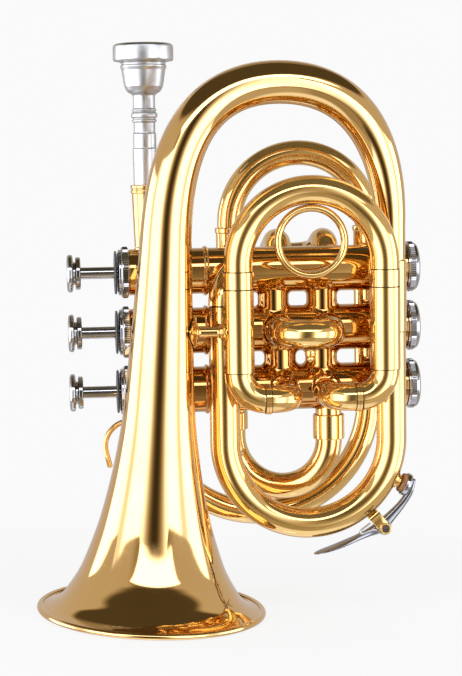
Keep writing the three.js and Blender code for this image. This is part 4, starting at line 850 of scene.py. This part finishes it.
# Brace: a turned post from the bell to the third slide's sleeve, with a leaf shaped saddle at each end.
BRACE_LIFT, BELL_AT_BRACE = 1.8, 13.75
bell_x = BELL_FOOT.x + (BRACE_LIFT - BELL_FOOT.z) * math.tan(LEAN)
brace_from, brace_to = Vector((bell_x, BELL_FOOT.y, BRACE_LIFT)), Vector((0, THIRD_PLANE, BRACE_LIFT))
brace_way = (brace_to - brace_from).normalized()
span = (brace_to - brace_from).length
settle(leaf("brace_saddle_bell", brace_from, brace_way, BELL_AT_BRACE, 13.8, 15.0, 1.3), "bell_brace")
settle(leaf("brace_saddle_slide", brace_to, -brace_way, SLEEVE, 9.8, 9.6, 1.2))
post = [(0, 13.9), (3.3, 13.9), (3.1, 15.0), (2.5, 15.6), (2.3, 16.3), (2.3, span - 9.0), (2.5, span - 8.3),
        (3.1, span - 7.8), (3.3, span - 6.8), (0, span - 6.8)]
settle(spun("brace_post", post, gold, brace_from, brace_way, 48, 0.15))

# Little finger hook: a bent brass rod brazed to the big arc, its tip rounded.
HOOK_AT, HOOK_TILT, HOOK_BEND, HOOK_SINK = math.radians(5.2), math.radians(13), 11.3, 0.4
hub = Vector((LEAD_X + ARC, LEAD_PLANE, ARC_SPRING))
start = hub - Vector((math.cos(HOOK_AT), 0, math.sin(HOOK_AT))) * (ARC + LEAD_TUBE - HOOK_SINK)
run = Run(start, (-math.cos(HOOK_TILT), 0, -math.sin(HOOK_TILT)), 2.3)
run.go(0.5, 1.8).go(0.7, 1.4).go(0.8, 1.22).go(4.8)
run.bend(HOOK_BEND, 91, (math.sin(HOOK_TILT), 0, -math.cos(HOOK_TILT)), step=6)
run.go(6.3).go(0.35, 1.1).go(0.3, 0.8).go(0.15, 0.3)
settle(drawn_tube("finger_hook_rod", run, gold, 24, 0), "finger_hook")

# Water key: a saddle and screw on the front arc carry a sprung lever. Its cup presses a cork on the nipple,
# and its blade is pressed by the finger. Places on it are an angle and a reach from the middle of the arc.
cork, place, sockets = finish("bark_cork", (0.4, 0.2, 0.08), 0, 0.8)
cells = place.node("ShaderNodeTexVoronoi", None, {"Vector": place, "Scale": 1500.0})
bark = place.noise(500.0, 4.0)
bark.fade(0.4, 0.65).blend((0.42, 0.2, 0.075), (0.22, 0.09, 0.03)).feed(sockets["Base Color"])
(cells + bark).relief(0.6, 0.0002).feed(sockets["Normal"])

key_hub = Vector(((LOOP_FAR + LOOP_NEAR) / 2, LOOP_PLANE, LOOP_SPRING))
LOOP_REACH, KEY_REACH, CORK_AT, PIVOT_AT = LOOP_ARC + LOOP, 50.3, -26.2, -50.4


def key_way(degrees):
    return Vector((math.cos(math.radians(degrees)), 0, math.sin(math.radians(degrees))))


cork_way = key_way(CORK_AT)
cork_at = key_hub + cork_way * LOOP_REACH
nipple = [(1.4, -1.5), (3.6, -1.5), (3.6, 0.1), (3.1, 0.35), (2.7, 0.6), (2.7, 0.9), (3.0, 1.1), (2.9, 1.4),
          (2.4, 1.6), (1.4, 1.6)]
settle(spun("water_nipple", nipple, gold, cork_at, cork_way, 48, 0.08))
pad = [(0, 1.95), (4.1, 1.95), (4.25, 2.15), (4.25, 4.2), (0, 4.2)]
piece = spun("water_key_cork", pad, cork, cork_at, cork_way, 48, 0.2)
settle(piece, "key_cork", body="water_key", slot="cork")
holder = [(4.55, 3.6), (5.0, 3.6), (5.05, 4.9), (4.8, 5.7), (3.9, 6.3), (2.2, 6.6), (0, 6.7), (0, 4.4),
          (4.55, 4.4)]
piece = spun("water_key_cup", holder, nickel, cork_at, cork_way, 48, 0.15)
settle(piece, body="water_key", slot="silver_plate")


def lofted(name, rings, material, crease=None):
    """A skin over closed rings of points, its two ends shut"""
    faces, count, last = [], len(rings[0]), (len(rings) - 1) * len(rings[0])
    for start in range(0, last, count):
        for k in range(count):
            a, b = start + k, start + (k + 1) % count
            faces.append((a, b, b + count, a + count))
    faces += [tuple(range(count))[::-1], tuple(range(last, last + count))]
    return made_mesh(name, [point for ring in rings for point in ring], faces, material, crease)


def forged_bar(name, stations, sides=20, square=0.6):
    """A forged bar through stations of angle, reach, half width and half thickness"""
    rings = []
    for angle, reach, wide, thick in stations:
        out, ring = key_way(angle), []
        for k in range(sides):
            turn = 2 * math.pi * k / sides
            c, s = math.cos(turn), math.sin(turn)
            sideways = wide * math.copysign(abs(c) ** square, c)
            outward = thick * math.copysign(abs(s) ** square, s)
            ring.append(key_hub + out * (reach + outward) + AWAY * sideways)
        rings.append(ring)
    return lofted(name, rings, forged)


stations = [(-22.0, 50.0, 1.8, 0.6), (-26.2, 50.3, 2.3, 1.1), (-30.0, 50.5, 2.1, 1.4),
            (-36.0, 50.3, 1.9, 1.6), (-43.0, 50.0, 2.05, 2.0), (-47.5, 50.1, 2.2, 2.4),
            (-50.4, 50.3, 2.2, 2.6), (-53.5, 50.0, 2.2, 2.4), (-58.0, 49.2, 2.2, 1.7),
            (-64.0, 48.6, 3.0, 1.1), (-70.0, 48.5, 4.1, 0.85), (-77.0, 48.9, 4.45, 0.65),
            (-83.0, 49.5, 4.0, 0.45), (-86.5, 50.0, 2.6, 0.3), (-88.0, 50.25, 0.9, 0.15)]
lever = forged_bar("water_key_lever", smoothed(stations, 4, held=True))
settle(lever, "key_lever", body="water_key", slot="silver_plate")
pivot = key_hub + key_way(PIVOT_AT) * KEY_REACH
barrel = [(1.5, -2.25), (2.45, -2.25), (2.45, 2.25), (1.5, 2.25)]
piece = spun("water_key_barrel", barrel, forged, pivot, AWAY, 48, 0.15)
settle(piece, body="water_key", slot="silver_plate")

# The saddle: a foot on the tube with two ears, and the slotted screw through them.
foot_out, foot_along = key_way(PIVOT_AT), key_way(PIVOT_AT + 90)


def ear(name, y, thick=1.2, round_over=2.5, ease=0.2):
    """A rounded ear that stands out from the tube to the screw"""
    root, neck = LOOP_REACH - 0.4, LOOP_REACH + 0.6
    turns = [math.pi * (k / 14 - 0.5) for k in range(15)]
    tip = [(KEY_REACH + round_over * math.cos(turn), round_over * math.sin(turn)) for turn in turns]
    rim = [(root, -2.9), (neck, -2.6), *tip, (neck, 2.6), (root, 2.9)]
    middle = (LOOP_REACH + KEY_REACH) / 2
    rings = []
    for depth, inset in ((0, 11 / 12), (ease, 1), (thick - ease, 1), (thick, 11 / 12)):
        centre = key_hub + AWAY * (y + depth)
        rings.append([centre + foot_out * (middle + (reach - middle) * inset) + foot_along * along * inset
                      for reach, along in rim])
    return lofted(name, rings, gold, 35)


NEAR_EAR, FAR_EAR = -7.2, 2.55
settle(ear("key_saddle_near", NEAR_EAR), "key_saddle")
settle(ear("key_saddle_far", FAR_EAR))
screw_at = pivot + AWAY * NEAR_EAR
boss = [(1.75, -0.7), (2.3, -0.7), (2.5, -0.4), (2.5, 0.2), (1.75, 0.2)]
settle(spun("key_saddle_boss", boss, gold, screw_at, AWAY, 48, 0.1))
head = [(0, -0.6), (1.4, -0.6), (1.65, -0.35), (1.65, -0.1), (1.1, -0.1), (1.1, 10.9), (0, 10.9)]
screw = spun("key_screw_turned", head, dark_steel, screw_at, AWAY, 48, 0.08)
SLOT_SHARE, SLOT_OUT, SLOT_FLOOR = 0.13, -2, -0.2
across_head, along_head = foot_along * 3 + foot_out * 2, (foot_out * 3 - foot_along * 2) * SLOT_SHARE
corners = [screw_at + across_head * u + along_head * v for u, v in ((-1, -1), (1, -1), (1, 1), (-1, 1))]
cut_ends = [[corner + AWAY * y for corner in corners] for y in (SLOT_OUT, SLOT_FLOOR)]
cutter = lofted("screw_slot", cut_ends, nickel)
slot_cut = screw.modifiers.new("slot", "BOOLEAN")
slot_cut.object = cutter
baked(screw, TUBE_CREASE)
bpy.data.objects.remove(cutter)
settle(screw, "key_screw", slot="silver_plate")

# The key's spring: a bent leg under the blade, two curls round the barrel and a short leg towards the cork.
CURLS, CURL_STEPS, WIRE, COIL, COIL_RISE, COIL_START = 2.25, 24, 0.4, 2.95, 1.05, NEAR_EAR + 1.95
leg = [(-3.4, -5.7), (-8.4, -6.1), (-9.4, -5.4), (-8.8, -4.4), (-4.6, -2.6), (-3.1, -1.2), (-COIL, -0.1)]
coil = [pivot + foot_along * along + foot_out * out + AWAY * COIL_START for along, out in smoothed(leg, 4)]
for i in range(int(CURLS * CURL_STEPS) + 1):
    angle = math.pi * (1 - 2 * i / CURL_STEPS)
    curl = (foot_along * math.cos(angle) + foot_out * math.sin(angle)) * COIL
    coil.append(pivot + curl + AWAY * (COIL_START + i / CURL_STEPS * COIL_RISE))
run = Run(coil[0], foot_along, WIRE)
for point in coil[1:]:
    run.mark(point, WIRE)
run.heading = (foot_along - foot_out * 0.3).normalized()
settle(drawn_tube("key_spring_wire", run.go(2.6), steel, 10, 0), "key_spring", slot="spring_steel")
